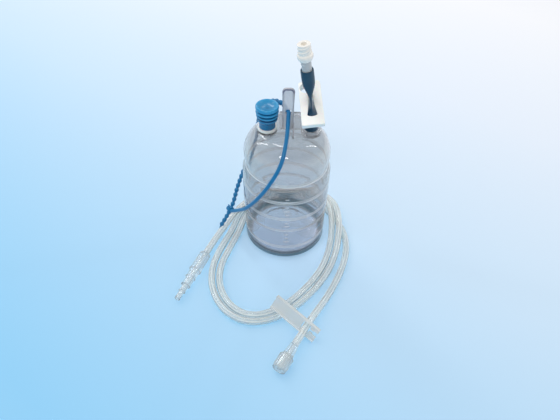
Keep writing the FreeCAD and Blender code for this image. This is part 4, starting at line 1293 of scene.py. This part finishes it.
@dataclass
class DrainBottle:
    """The clear bottle: its ringed shell, both necks, the hanger tab, its webs and its cross fin."""

    radius: float = 37.5
    lower_radius: float = 36.7
    wall: float = 1.2
    plateau: float = 118.0
    rings: tuple[float, ...] = RING_HEIGHTS[:4]
    ring_height: float = 0.45
    ring_half: float = 0.95
    heel: float = 1.6
    samples: int = 300
    segments: int = 150
    neck_segments: int = 72
    bellows_neck: float = -16.4
    sleeve_neck: float = 18.7
    top_under_tab: float = 117.2
    tab_sides: tuple[float, float] = (-4.6, 4.5)
    tab_top: float = 155.4
    tab_hole: tuple[float, float] = (0.2, 134.0)
    tab_hole_radius: float = 2.5
    tab_half: float = 0.85
    web_half: float = 0.65
    marks: tuple[float, ...] = (22.0, 26.5, 31.0, 42.5, 46.0, 56.0, 60.5, 65.0, 74.0)

    def outside(self) -> Array:
        """Give the shell's outline, from the foot's middle to the top's middle, without its rings.

        Returns:
            Radius and height pairs.
        """
        rows = [
            (0.0, 1.4), (20.0, 1.2), (27.5, 0.25), (31.5, 0.0), (34.2, 0.0), (36.0, 0.8),
            *((self.lower_radius, height) for height in (2.8, 9.0, 20.0, 30.0, 36.0)),
            *((self.radius, height) for height in (40.0, 45.0, 60.0, 75.0, 79.0)),
            (37.1, 81.6), (35.6, 84.2), (35.0, 86.0), (35.25, 88.5), (35.95, 92.0), (36.25, 95.0),
            (36.1, 99.0), (35.0, 103.5), (33.1, 107.6), (30.7, 111.0), (27.6, 114.1), (24.0, 116.5),
            (20.0, 117.9), (14.0, self.plateau), (0.0, self.plateau),
        ]
        return smooth_route(rows, self.samples)

    def ringed(self, line: Array) -> Array:
        """Raise the rings: the radius grows by h cos^2(pi d / 2 w) within w of each ring's height.

        Args:
            line: The shell's outline.

        Returns:
            The outline with its rings.
        """
        heights = line[:, 1:2]
        apart = np.abs(heights - np.array(self.rings)[None, :])
        wave = np.cos(math.pi / 2 * apart / self.ring_half) ** 2
        swell = np.where(apart < self.ring_half, wave, 0.0).sum(axis=1)
        outer = line.copy()
        outer[:, 0] += self.ring_height * swell * (line[:, 0] > 30.0)
        return outer

    def inside(self, line: Array) -> Array:
        """Give the inner wall: the outline moved in by the wall along its normal, thicker at the heel.

        Args:
            line: The shell's outline.

        Returns:
            The inner wall's radius and height pairs.
        """
        way = np.gradient(line, axis=0)
        way /= np.linalg.norm(way, axis=1)[:, None]
        normal = np.stack([way[:, 1], -way[:, 0]], axis=1)
        thick = self.wall + self.heel * np.exp(-((line[:, 1] - 2.0) / 4.0) ** 2) * (line[:, 0] > 25.0)
        inner = line - normal * thick[:, None]
        inner[:, 0] = np.maximum(inner[:, 0], 0.0)
        inner[[0, -1], 0] = 0.0
        return inner

    def shell(self) -> tuple[Grid, Grid]:
        """Turn the outside and the inside, each closed by its two poles.

        Returns:
            The outer and the inner surface.
        """
        line = self.outside()
        outer = revolve(self.ringed(line), self.segments, closed=False)
        return outer, revolve(self.inside(line), self.segments, closed=False)

    def neck(self, offset: float, top: float, rows: Sequence[tuple[float, float]]) -> Grid:
        """Turn a neck's wall about its own upright axis."""
        grid = revolve(soften(rows, 0.45, steps=4), self.neck_segments)
        return turned_to(grid, Matrix.Translation((offset, 0.0, top)))

    def tab(self) -> tuple[Grid, Grid]:
        """Cut the hanger tab with its hole, and carry the thick rim round its sides and top.

        Returns:
            The tab and its rim.
        """
        left, right = self.tab_sides
        foot, top = self.top_under_tab, self.tab_top
        outline = soften(
            [(left, foot), (right, foot), (right, top), (left, top)], [0.3, 0.3, 3.2, 3.2], steps=10)
        outer = even_loop(outline, 128)
        centre = np.array(self.tab_hole)
        angle = np.arctan2(outer[:, 1] - centre[1], outer[:, 0] - centre[0])
        inner = centre + self.tab_hole_radius * np.stack([np.cos(angle), np.sin(angle)], axis=1)
        run = soften([(-4.0, 119.0), (-4.0, 154.3), (3.9, 154.3), (3.9, 119.0)], 3.0, closed=False, steps=12)
        dense = denser(run, 3, closed=False)
        path = np.column_stack([dense[:, 0], np.zeros(len(dense)), dense[:, 1]])
        radii = 0.62 + 0.48 * np.clip((path[:, 2] - 149.0) / 4.0, 0.0, 1.0)
        rim = capped(tube_along(path, radii, 16, (0.0, 1.0, 0.0)))
        return turned_to(plate(outer, inner, self.tab_half, 0.4), self.upright()), rim

    def upright(self) -> Matrix:
        """Give the matrix that stands a flat plate up, its face to the front."""
        return Matrix(((1, 0, 0, 0), (0, 0, -1, 0), (0, 1, 0, 0), (0, 0, 0, 1)))

    def webs(self) -> list[Grid]:
        """Cut the web beside the tab and the cross fin as whole plates with rounded edges.

        Returns:
            The web and the fin.
        """
        across = Matrix(((0, 0, 1, 4.3), (1, 0, 0, 0), (0, 1, 0, 0), (0, 0, 0, 1)))
        foot = self.top_under_tab
        web = soften(
            [(-6.9, foot), (11.5, foot), (11.5, 134.0), (-6.9, 134.0)], [0.2, 0.2, 3.0, 1.0], steps=8)
        fin = soften([
            (-13.0, 117.0), (13.0, 117.0), (13.0, 119.0), (2.0, 123.0), (-2.0, 123.0), (-13.0, 119.0)],
            0.5, steps=4)
        grids = []
        for outline, matrix in ((web, self.upright()), (fin, across)):
            loop = even_loop(outline, 96)
            middle = np.repeat(loop.mean(axis=0)[None], len(loop), axis=0)
            grids.append(turned_to(plate(loop, middle, self.web_half, 0.3), matrix))
        return grids

    def marks_on_front(self) -> list[Grid]:
        """Raise the short level marks up the front: small pillows that follow the wall's curve.

        A pillow stands out by its height times the square roots of 1 - across^2 and 1 - up^2.

        Returns:
            One closed surface a mark.
        """
        grids = []
        wide, high = np.meshgrid(np.linspace(-1.0, 1.0, 12), np.linspace(-1.0, 1.0, 8))
        pillow = np.sqrt(np.clip(1 - wide ** 2, 0, 1)) * np.sqrt(np.clip(1 - high ** 2, 0, 1))
        for number, height in enumerate(self.marks):
            wall_radius = (self.lower_radius if height < 38 else self.radius) - 0.15
            half = 2.6 if number % 3 == 0 else 1.7
            angle = -math.pi / 2 + (1.0 + wide * half) / self.radius
            face, back = (
                np.stack([radius * np.cos(angle), radius * np.sin(angle), height + 0.55 * high], axis=2)
                for radius in (wall_radius + 0.65 * pillow, wall_radius - 0.05))
            grids.append(capped(Grid(np.concatenate([face, back[:, ::-1]], axis=1))))
        return grids

    def build(self, finishes: Finishes) -> None:
        """Make the shell, and each thing that stands on it as a piece of its own.

        Args:
            finishes: The object's finishes.
        """
        outside, inside = self.shell()
        make_piece("bottle_shell", [outside], finishes.get("shell"), Body.ROOT, ("bottle",),
                   sharp=70.0, cavities=[inside])
        necks = [
            self.neck(self.bellows_neck, self.plateau, [
                (2.8, -3.0), (8.0, -3.0), (8.0, 0.0), (4.6, 0.0), (4.6, 8.0), (2.8, 8.0)]),
            self.neck(self.sleeve_neck, self.top_under_tab, [
                (3.0, -3.4), (8.0, -3.4), (8.0, 0.0), (6.6, 0.1), (6.6, 1.8), (4.2, 1.8), (4.2, 11.8),
                (3.0, 11.8)]),
        ]
        tab, rim = self.tab()
        for name, grids, kind, sharp in (
                ("bottle_necks", necks, "top", 50.0), ("hanger_tab", [tab], "tab", 50.0),
                ("hanger_webs", self.webs(), "top", 50.0), ("hanger_rim", [rim], "rim", 70.0),
                ("bottle_marks", self.marks_on_front(), "mark", 80.0)):
            make_piece(name, grids, finishes.get(kind), Body.ROOT, sharp=sharp)


# What stands on the bottle


@dataclass
class Bellows:
    """The blue folded rubber bellows and the cream ring under it."""

    offset: float = -16.4
    foot: float = 120.1
    segments: int = 128
    disc: float = 16.5
    stem: float = 5.8
    stem_shade: float = 0.62
    dish_shade: float = 0.35
    ring_bore: float = 4.7
    ring_radius: float = 8.0
    ring_height: float = 2.1
    ring_foot: float = 118.0
    ring_segments: int = 96

    def folds(self) -> Array:
        """Give the wall's outline: stem, three folds, groove, rolled disc with its dish, and the inside.

        Returns:
            Radius and height pairs, above the foot.
        """
        outer = [
            (4.65, 0.0), (6.6, 0.0), (6.6, 5.4), (8.3, 7.2), (8.3, 8.2), (6.9, 9.2), (6.9, 9.7),
            (8.8, 10.6), (8.8, 11.5), (7.0, 12.4), (7.0, 12.9), (9.2, 13.7), (9.2, 14.9), (7.3, 15.7),
            (7.3, 16.6), (9.3, 17.0), (9.3, 19.2), (8.6, 19.9), (7.9, 19.75), (6.0, 18.4), (4.0, 17.5),
            (2.0, 17.05), (0.0, 16.95),
        ]
        rounding = [0.2, 0.3, 0.5] + [0.55, 0.55, 0.3, 0.3] * 3 + [0.5, 0.6, 0.4, 1.0, 1.0, 1.0, 1.0, 0.0]
        inner = [(0.0, 15.9), (5.2, 15.9), (5.7, 15.2), (5.7, 12.7), (5.7, 9.7), (4.65, 6.6), (4.65, 0.05)]
        wall = soften(outer, rounding, closed=False, steps=6)
        return np.vstack([denser(wall, 2, closed=False), soften(inner, 0.3, closed=False, steps=3)])

    def build(self, finishes: Finishes) -> None:
        """Turn the ring and the bellows; the bellows hangs on no body.

        The grooves take a painted shade colour by how far they lie inside the folds, (8.7 - r) / 1.3 from 0
        to 1, the dish a fainter painted shade towards its middle, and the stem an even painted shade.

        Args:
            finishes: The object's finishes.
        """
        section = soften([
            (self.ring_bore, 0.0), (self.ring_radius, 0.0), (self.ring_radius, self.ring_height),
            (self.ring_bore, self.ring_height)], [0.3, 0.5, 0.9, 0.3], steps=6)
        ring = turned_to(
            revolve(section, self.ring_segments), Matrix.Translation((self.offset, 0, self.ring_foot)))
        make_piece("collar_ring_moulding", [ring], finishes.get("white"), Body.ROOT,
                   ("collar_ring",))
        wall = turned_to(
            revolve(self.folds(), self.segments), Matrix.Translation((self.offset, 0, self.foot)))
        piece = make_piece("folded_bellows", [wall], finishes.get("bellows"), None,
                           ("bellows",), sharp=80.0)
        points = points_of(piece)
        radius = np.hypot(points[:, 0] - self.offset, points[:, 1])
        height = points[:, 2] - self.foot
        # Painted shade in the grooves between the folds, in the dish and on the stem
        groove = np.clip((8.7 - radius) / 1.3, 0.0, 1.0) * np.clip((17.2 - height) / 0.4, 0.0, 1.0)
        dish = self.dish_shade * np.clip((7.6 - radius) / 4.0, 0.0, 1.0) * (height > 16.6)
        note_shares(piece, np.where(height < self.stem, self.stem_shade, np.maximum(groove, dish)))
        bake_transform(piece)


def clamp_turn() -> Matrix:
    """Give the slide clamp's turn: yaw about Z, then tilt about X, then roll about Y."""
    turns = ((3.5, "Z"), (10.2, "X"), (-7.4, "Y"))
    yaw, tilt, roll = (Matrix.Rotation(math.radians(angle), 4, axis) for angle, axis in turns)
    return yaw @ tilt @ roll


# Where the clamp pinches the sleeve, in millimetres, and the way that the port tube points
CLAMP_WAIST = np.array([16.8, -1.0, 147.1])
PORT_WAY = np.array([-0.163, -0.10, 1.0]) / np.linalg.norm([-0.163, -0.10, 1.0])


@dataclass
class SlideClamp:
    """The cream slide clamp on the sleeve: a crowned plate with a keyhole, skirts, a collar and a lip."""

    width: float = 17.2
    front: float = 28.4
    back: float = 18.3
    half: float = 1.0
    crown: float = 90.0
    loop_points: int = 300
    skirt_drop: float = 4.6
    skirt_half: float = 0.65
    collar_half: float = 0.35
    collar_gap: float = 0.3
    lip_drop: float = 2.3
    lip_half: float = 0.55
    hole: float = 5.7
    hole_across: float = -2.0
    hole_place: float = 10.9
    throat: float = 1.5
    flare: float = 3.9
    flare_place: float = -18.5

    def keyhole(self, count: int) -> Array:
        """Give the keyhole's rim, anticlockwise from the middle of its flared front.

        Args:
            count: How many points the rim gets.

        Returns:
            One row of x and y a point.
        """
        right_meet = math.degrees(math.asin((self.throat - self.hole_across) / self.hole))
        left_meet = math.degrees(math.asin((self.throat + self.hole_across) / self.hole))
        hole = arc_points(
            (self.hole_across, self.hole_place), self.hole, -90.0 + right_meet, 270.0 - left_meet, 60)
        flare = arc_points((0.0, self.flare_place + 4.9), 5.8, -132.3, -47.7, 20)
        throat = soften([
            (self.flare, self.flare_place + 0.6), (self.throat * 0.9, -1.5), (self.throat, 3.2)], 2.5, False)
        side = throat[1:-1]
        right = np.vstack([flare[10:], side])
        left = np.vstack([side[::-1] * (-1, 1), flare[:10]])
        return even_loop(np.vstack([right, hole, left]), count)

    def surface(self) -> Grid:
        """Make the plate and raise it by the crown: z grows by (w^2 - x^2) / 2R.

        Returns:
            The plate, with x across it and y towards its back.
        """
        half_width = self.width / 2
        rim = soften([
            (half_width, -self.front), (half_width, self.back), (-half_width, self.back),
            (-half_width, -self.front)], 2.4, steps=12)
        start = int(np.argmin(np.abs(rim[:, 0]) + np.abs(rim[:, 1] + self.front)))
        rim = np.roll(rim, -start, axis=0)
        outline = np.vstack([[(0.0, -self.front)], rim[rim[:, 0] > 0], rim[rim[:, 0] < 0]])
        bearing = np.arctan2(outline[1:, 0], -outline[1:, 1] / 2.2) % (2 * math.pi)
        order = np.concatenate([[0], 1 + np.argsort(bearing)])
        outer = even_loop(outline[order], self.loop_points)
        grid = plate(outer, self.keyhole(self.loop_points), self.half, 0.55, 10)
        points = grid.points.copy()
        points[..., 2] += (half_width ** 2 - points[..., 0] ** 2) / (2 * self.crown)
        return Grid(points, grid.wrap_rows, grid.wrap_columns)

    def strip(self, half: float, drop: float, top: float, rounding: float, steps: int) -> Array:
        """Give an upright strip's section, its corners rounded.

        Args:
            half: Half its thickness.
            drop: How far it hangs down.
            top: How far it reaches up.
            rounding: How far from each corner its rounding starts.
            steps: Points a rounding.

        Returns:
            One row of across and up a point.
        """
        return soften([(-half, -drop), (half, -drop), (half, top), (-half, top)], rounding, steps=steps)

    def skirt(self, side: int) -> Grid:
        """Carry a rounded upright strip along one long side of the plate.

        Args:
            side: -1 for the left and 1 for the right.

        Returns:
            The skirt, closed at both ends.
        """
        along = np.array([-26.2, -26.0, -25.0, 0.0, 15.0, 15.9, 16.1])
        shrink = np.array([0.0, 0.8, 1.0, 1.0, 1.0, 0.8, 0.0])
        shape = tapered(self.strip(self.skirt_half, self.skirt_drop, 0.4, 0.45, 5), shrink)
        points = np.stack([
            shape[..., 0] + side * (self.width / 2 - 0.68),
            np.broadcast_to(along[:, None], shape.shape[:2]),
            shape[..., 1]], axis=2)
        return Grid(points)

    def collar(self) -> Grid:
        """Carry a rounded upright strip round the back of the hole, under the plate.

        Returns:
            The collar, closed at both ends.
        """
        angles = np.radians(np.linspace(-52.0, 232.0, 54))
        shrink = np.ones(len(angles))
        shrink[[0, -1]] = 0.0
        shape = tapered(self.strip(self.collar_half, self.skirt_drop, 0.2, 0.25, 4), shrink)
        radius = self.hole + self.collar_gap + shape[..., 0]
        points = np.stack([
            self.hole_across + radius * np.cos(angles)[:, None],
            self.hole_place + radius * np.sin(angles)[:, None],
            shape[..., 1]], axis=2)
        return Grid(points)

    def lip(self) -> Grid:
        """Carry a rounded upright strip across the near end, arched like the plate.

        Returns:
            The lip, closed at both ends.
        """
        across = np.array([-7.6, -7.4, -6.8, -5.0, -2.5, 0.0, 2.5, 5.0, 6.8, 7.4, 7.6])
        shrink = np.array([0.0, 0.8, 1.0, 1.0, 1.0, 1.0, 1.0, 1.0, 1.0, 0.8, 0.0])
        shape = tapered(self.strip(self.lip_half, self.lip_drop, 0.5, 0.4, 4), shrink)
        arch = ((self.width / 2) ** 2 - across ** 2) / (2 * self.crown)
        points = np.stack([
            np.broadcast_to(across[:, None], shape.shape[:2]),
            shape[..., 0] - self.front + 0.75,
            shape[..., 1] + arch[:, None]], axis=2)
        return Grid(points)

    def build(self, finishes: Finishes) -> bpy.types.Object:
        """Make the clamp where it sits askew on the sleeve.

        Args:
            finishes: The object's finishes.

        Returns:
            The clamp.
        """
        matrix = Matrix.Translation(CLAMP_WAIST.tolist()) @ clamp_turn()
        parts = (self.surface(), self.skirt(-1), self.skirt(1), self.collar(), self.lip())
        grids = [turned_to(grid, matrix) for grid in parts]
        return make_piece("sleeve_slide_clamp", grids, finishes.get("white"), Body.SLEEVE_CLAMP,
                          ("slide_clamp",), sharp=45.0)


@dataclass
class SleeveAndPort:
    """The dark rubber sleeve pinched in the clamp, the grey tube in its top and the milky connector."""

    seat: tuple[float, float, float] = (18.7, 0.0, 119.0)
    radius: float = 5.55
    top_radius: float = 4.95
    pinch_half: float = 1.2
    pinch_long: float = 7.1
    pinch_reach: float = 2.4
    tube_seat: float = 17.0
    tube_length: float = 22.5
    tube_radius: float = 3.8
    tube_bore: float = 2.6
    connector_seat: float = 35.5
    thread_rise: float = 3.1
    thread_height: float = 0.72
    connector_segments: int = 128

    def sleeve(self) -> Grid:
        """Carry an oval up the sleeve: a point is centre + long cos a along + short sin a cross.

        The ovals' centres, directions and half widths are one smooth route of many values.

        Returns:
            The sleeve's wall, closed at its foot and inside its top.
        """
        turn = np.array(clamp_turn().to_3x3())
        along, normal = turn[:, 1], turn[:, 2]
        seat = np.array(self.seat)
        foot = CLAMP_WAIST - normal * self.pinch_reach
        crown = CLAMP_WAIST + normal * self.pinch_reach
        straight = seat + (0.0, 0.0, 9.0)
        down = foot - straight
        rise = down / np.linalg.norm(down)
        upright = np.array([0.0, 0.0, 1.0])
        port = PORT_WAY

        def at(distance: float) -> Array:
            """Give the point at a distance up the port's axis from the clamp's waist."""
            return CLAMP_WAIST + port * distance

        rows = [
            (*seat, *upright, self.radius, self.radius),
            (*(seat + (0, 0, 4.5)), *upright, self.radius, self.radius),
            (*straight, *rise, self.radius, self.radius * 1.02),
            (*(straight + down * 0.33), *rise, self.radius * 0.95, self.radius * 1.06),
            (*(straight + down * 0.66), *(rise + normal), self.radius * 0.55, self.radius * 1.2),
            (*(straight + down * 0.88), *normal, 1.5, self.pinch_long),
            (*foot, *normal, self.pinch_half, self.pinch_long),
            (*CLAMP_WAIST, *normal, self.pinch_half, self.pinch_long),
            (*crown, *normal, self.pinch_half, self.pinch_long),
            (*at(4.6), *(port + normal), 1.6, self.pinch_long * 0.98),
            (*at(8.5), *(port + normal * 0.5), 2.9, 6.3),
            (*at(13.0), *port, 4.6, 5.4),
            (*at(17.5), *port, self.top_radius, self.top_radius),
            (*at(22.0), *port, self.top_radius, self.top_radius),
            (*at(25.6), *port, self.top_radius, self.top_radius),
            (*at(26.8), *port, self.top_radius - 0.1, self.top_radius - 0.1),
            (*at(27.05), *port, self.top_radius - 0.55, self.top_radius - 0.55),
            (*at(26.8), *port, 3.9, 3.9),
            (*at(25.0), *port, 3.86, 3.86),
            (*at(16.5), *port, 3.86, 3.86),
            (*at(16.0), *port, 0.0, 0.0),
        ]
        values = smooth_route(rows, 150)
        centre, way = values[:, :3], values[:, 3:6]
        way = way / np.linalg.norm(way, axis=1)[:, None]
        long_way = along - way * (way @ along)[:, None]
        long_way /= np.linalg.norm(long_way, axis=1)[:, None]
        cross = np.cross(way, long_way)
        angles = round_turn(72)[None, :, None]
        short, far = values[:, 6][:, None, None], values[:, 7][:, None, None]
        points = centre[:, None] + far * np.cos(angles) * long_way[:, None]
        points = points + short * np.sin(angles) * cross[:, None]
        middle = np.broadcast_to(points[:1].mean(axis=1, keepdims=True), points[:1].shape)
        return Grid(np.vstack([middle, points]))

    def port_tube(self) -> Grid:
        """Turn the grey tube's wall."""
        rows = soften([
            (self.tube_bore, 0.0), (self.tube_radius, 0.0), (self.tube_radius, self.tube_length),
            (self.tube_bore, self.tube_length)], 0.3, steps=3)
        return turned_to(revolve(rows, 64), along_axis(CLAMP_WAIST + PORT_WAY * self.tube_seat, PORT_WAY))

    def port_connector(self) -> Grid:
        """Turn the connector, with a double thread on its barrel.

        The thread stands out by h (1/2 + 1/2 cos(2 pi p))^2, where its phase p is z / rise - a / pi.

        Returns:
            The connector, on the port tube's end.
        """
        rows = soften([
            (3.85, 0.0), (5.0, 0.0), (5.9, 2.0), (6.1, 3.2), (5.7, 4.3), (4.6, 5.2), (4.35, 8.0), (4.3, 11.0),
            (4.35, 12.8), (2.1, 12.8), (2.1, 4.8), (1.2, 4.8), (1.2, 4.0), (3.85, 4.0)], 0.35, steps=5)
        dense = denser(rows, 5)
        height = dense[:, 1:2]
        phase = height / self.thread_rise - round_turn(self.connector_segments)[None, :] / math.pi
        ridge = (0.5 + 0.5 * np.cos(2 * math.pi * phase)) ** 2
        on_barrel = np.clip((height - 5.2) / 1.2, 0.0, 1.0) * np.clip((13.2 - height) / 1.0, 0.0, 1.0)
        outside = (dense[:, :1] > 3.9) & (height > 4.9)
        grid = revolve(dense, self.connector_segments, outside * on_barrel * ridge * self.thread_height)
        return turned_to(grid, along_axis(CLAMP_WAIST + PORT_WAY * self.connector_seat, PORT_WAY))

    def build(self, finishes: Finishes) -> None:
        """Make the three pieces in order, from the neck upwards.

        Args:
            finishes: The object's finishes.
        """
        make_piece("rubber_sleeve", [self.sleeve()], finishes.get("sleeve"), Body.ROOT,
                   ("sleeve",), sharp=80.0)
        make_piece("grey_port_tube", [self.port_tube()], finishes.get("port_tube"), Body.ROOT,
                   ("port_tube",))
        make_piece("port_lock_connector", [self.port_connector()], finishes.get("port"), Body.ROOT,
                   ("port_connector",), sharp=60.0)


# The strap's two sides, from the hanger's hole down to the eye and the tail, in millimetres
PLAIN_SIDE = [
    (0.35, 0, 134), (0, -10, 128.5), (-0.8, -21, 122.5), (-4, -35.5, 110), (-13.5, -38.6, 91),
    (-23.8, -33.4, 70), (-34, -24, 50), (-41.5, -14, 37.5), (-46.5, -8.8, 31.5), (-49.4, -5.1, 27.3),
]
BEADED_SIDE = [
    (0.35, 0, 134), (-2.5, 5, 137), (-10, 12, 136.5), (-17, 19, 129.5), (-23, 26.5, 113.5),
    (-26.5, 31.5, 95), (-29.4, 29.9, 80), (-34.1, 24.3, 66), (-39.5, 17.5, 55), (-44.5, 9, 44),
    (-47.5, 2, 33), (-50.5, -2.1, 26.7), (-55, -5.5, 18.5), (-61, -11, 10.5),
]


@dataclass
class HangingStrap:
    """The blue strap: a plain round side with an eye, and a beaded side that is threaded through it."""

    plain: float = 1.6
    neck: float = 1.1
    bead: float = 2.1
    pitch: float = 4.5
    lean: float = 0.42
    root_swell: float = 0.15
    eye_bore: float = 2.7
    eye_radius: float = 4.2
    eye_half: float = 1.2
    tip_radius: float = 1.15
    tip_reach: tuple[float, float] = (3.4, 8.4)
    eye_centre: tuple[float, float, float] = (-50.5, -2.1, 26.7)
    eye_axis: tuple[float, float, float] = (-0.466, -0.329, -0.822)
    eye_root: tuple[float, float, float] = (0.33, -0.926, 0.18)

    def plain_side(self) -> Grid:
        """Carry the plain round cord down from the hanger, a little thicker at the eye's root.

        Returns:
            The plain side, closed at both ends.
        """
        path = smooth_route(PLAIN_SIDE, 160)
        share = np.linspace(0.0, 1.0, len(path))
        radii = self.plain + self.root_swell * np.clip((share - 0.93) / 0.07, 0.0, 1.0)
        return capped(tube_along(path, radii, 20, (1.0, 0.0, 0.15)))

    def beaded_side(self) -> Grid:
        """Carry the beads, each fuller towards its upper end.

        Over each pitch u rises from 0 to 1 at the lean and falls back to 0, and the radius is
        neck + (bead - neck) (1 - (1 - u)^1.7).

        Returns:
            The beaded side, closed at both ends.
        """
        path = smooth_route(BEADED_SIDE, 900)
        length = np.concatenate([[0.0], np.cumsum(np.linalg.norm(np.diff(path, axis=0), axis=1))])
        share = (length / self.pitch) % 1.0
        rise = np.where(share < self.lean, share / self.lean, (1 - share) / (1 - self.lean))
        radii = self.neck + (self.bead - self.neck) * (1 - (1 - rise) ** 1.7)
        end = np.clip((length[-1] - length) / 3.5, 0.12, 1.0)
        return capped(tube_along(path, radii * end, 18, (1.0, 0.35, 0.0)))

    def eye(self) -> list[Grid]:
        """Turn the eye's rounded ring and carry its small pointed tip.

        Returns:
            The ring and the tip.
        """
        centre = np.array(self.eye_centre)
        section = soften([
            (self.eye_bore, -self.eye_half), (self.eye_radius, -self.eye_half),
            (self.eye_radius, self.eye_half), (self.eye_bore, self.eye_half)], 0.6, steps=6)
        ring = turned_to(revolve(section, 64), along_axis(self.eye_centre, self.eye_axis))
        tip = centre - np.array(self.eye_root) * np.linspace(*self.tip_reach, 14)[:, None]
        radii = self.tip_radius * (1 - np.linspace(0.0, 1.0, 14) ** 2 * 0.75)
        return [ring, capped(tube_along(tip, radii, 16))]

    def build(self, finishes: Finishes) -> bpy.types.Object:
        """Make the strap as one piece."""
        return make_piece("hanging_strap", [self.plain_side(), self.beaded_side(), *self.eye()],
                          finishes.get("strap"), Body.ROOT, ("strap",), sharp=70.0)


def main() -> None:
    """Build the stage, the line, the bottle and everything on it."""
    logging.basicConfig(level=logging.INFO, format="%(message)s")
    studio = Studio()
    studio.add_camera()
    finishes = Finishes()
    lock = LockConnector()
    on_line = [
        SteppedConnector().build(finishes),
        lock.build_body(finishes),
        lock.build_nut(finishes),
        LineClamp().dress(finishes),
    ]
    ConnectingLine().build(finishes, on_line)
    DrainBottle().build(finishes)
    Bellows().build(finishes)
    SlideClamp().build(finishes)
    SleeveAndPort().build(finishes)
    HangingStrap().build(finishes)
    studio.add_floor()
    studio.light()


if __name__ == "__main__":
    main()
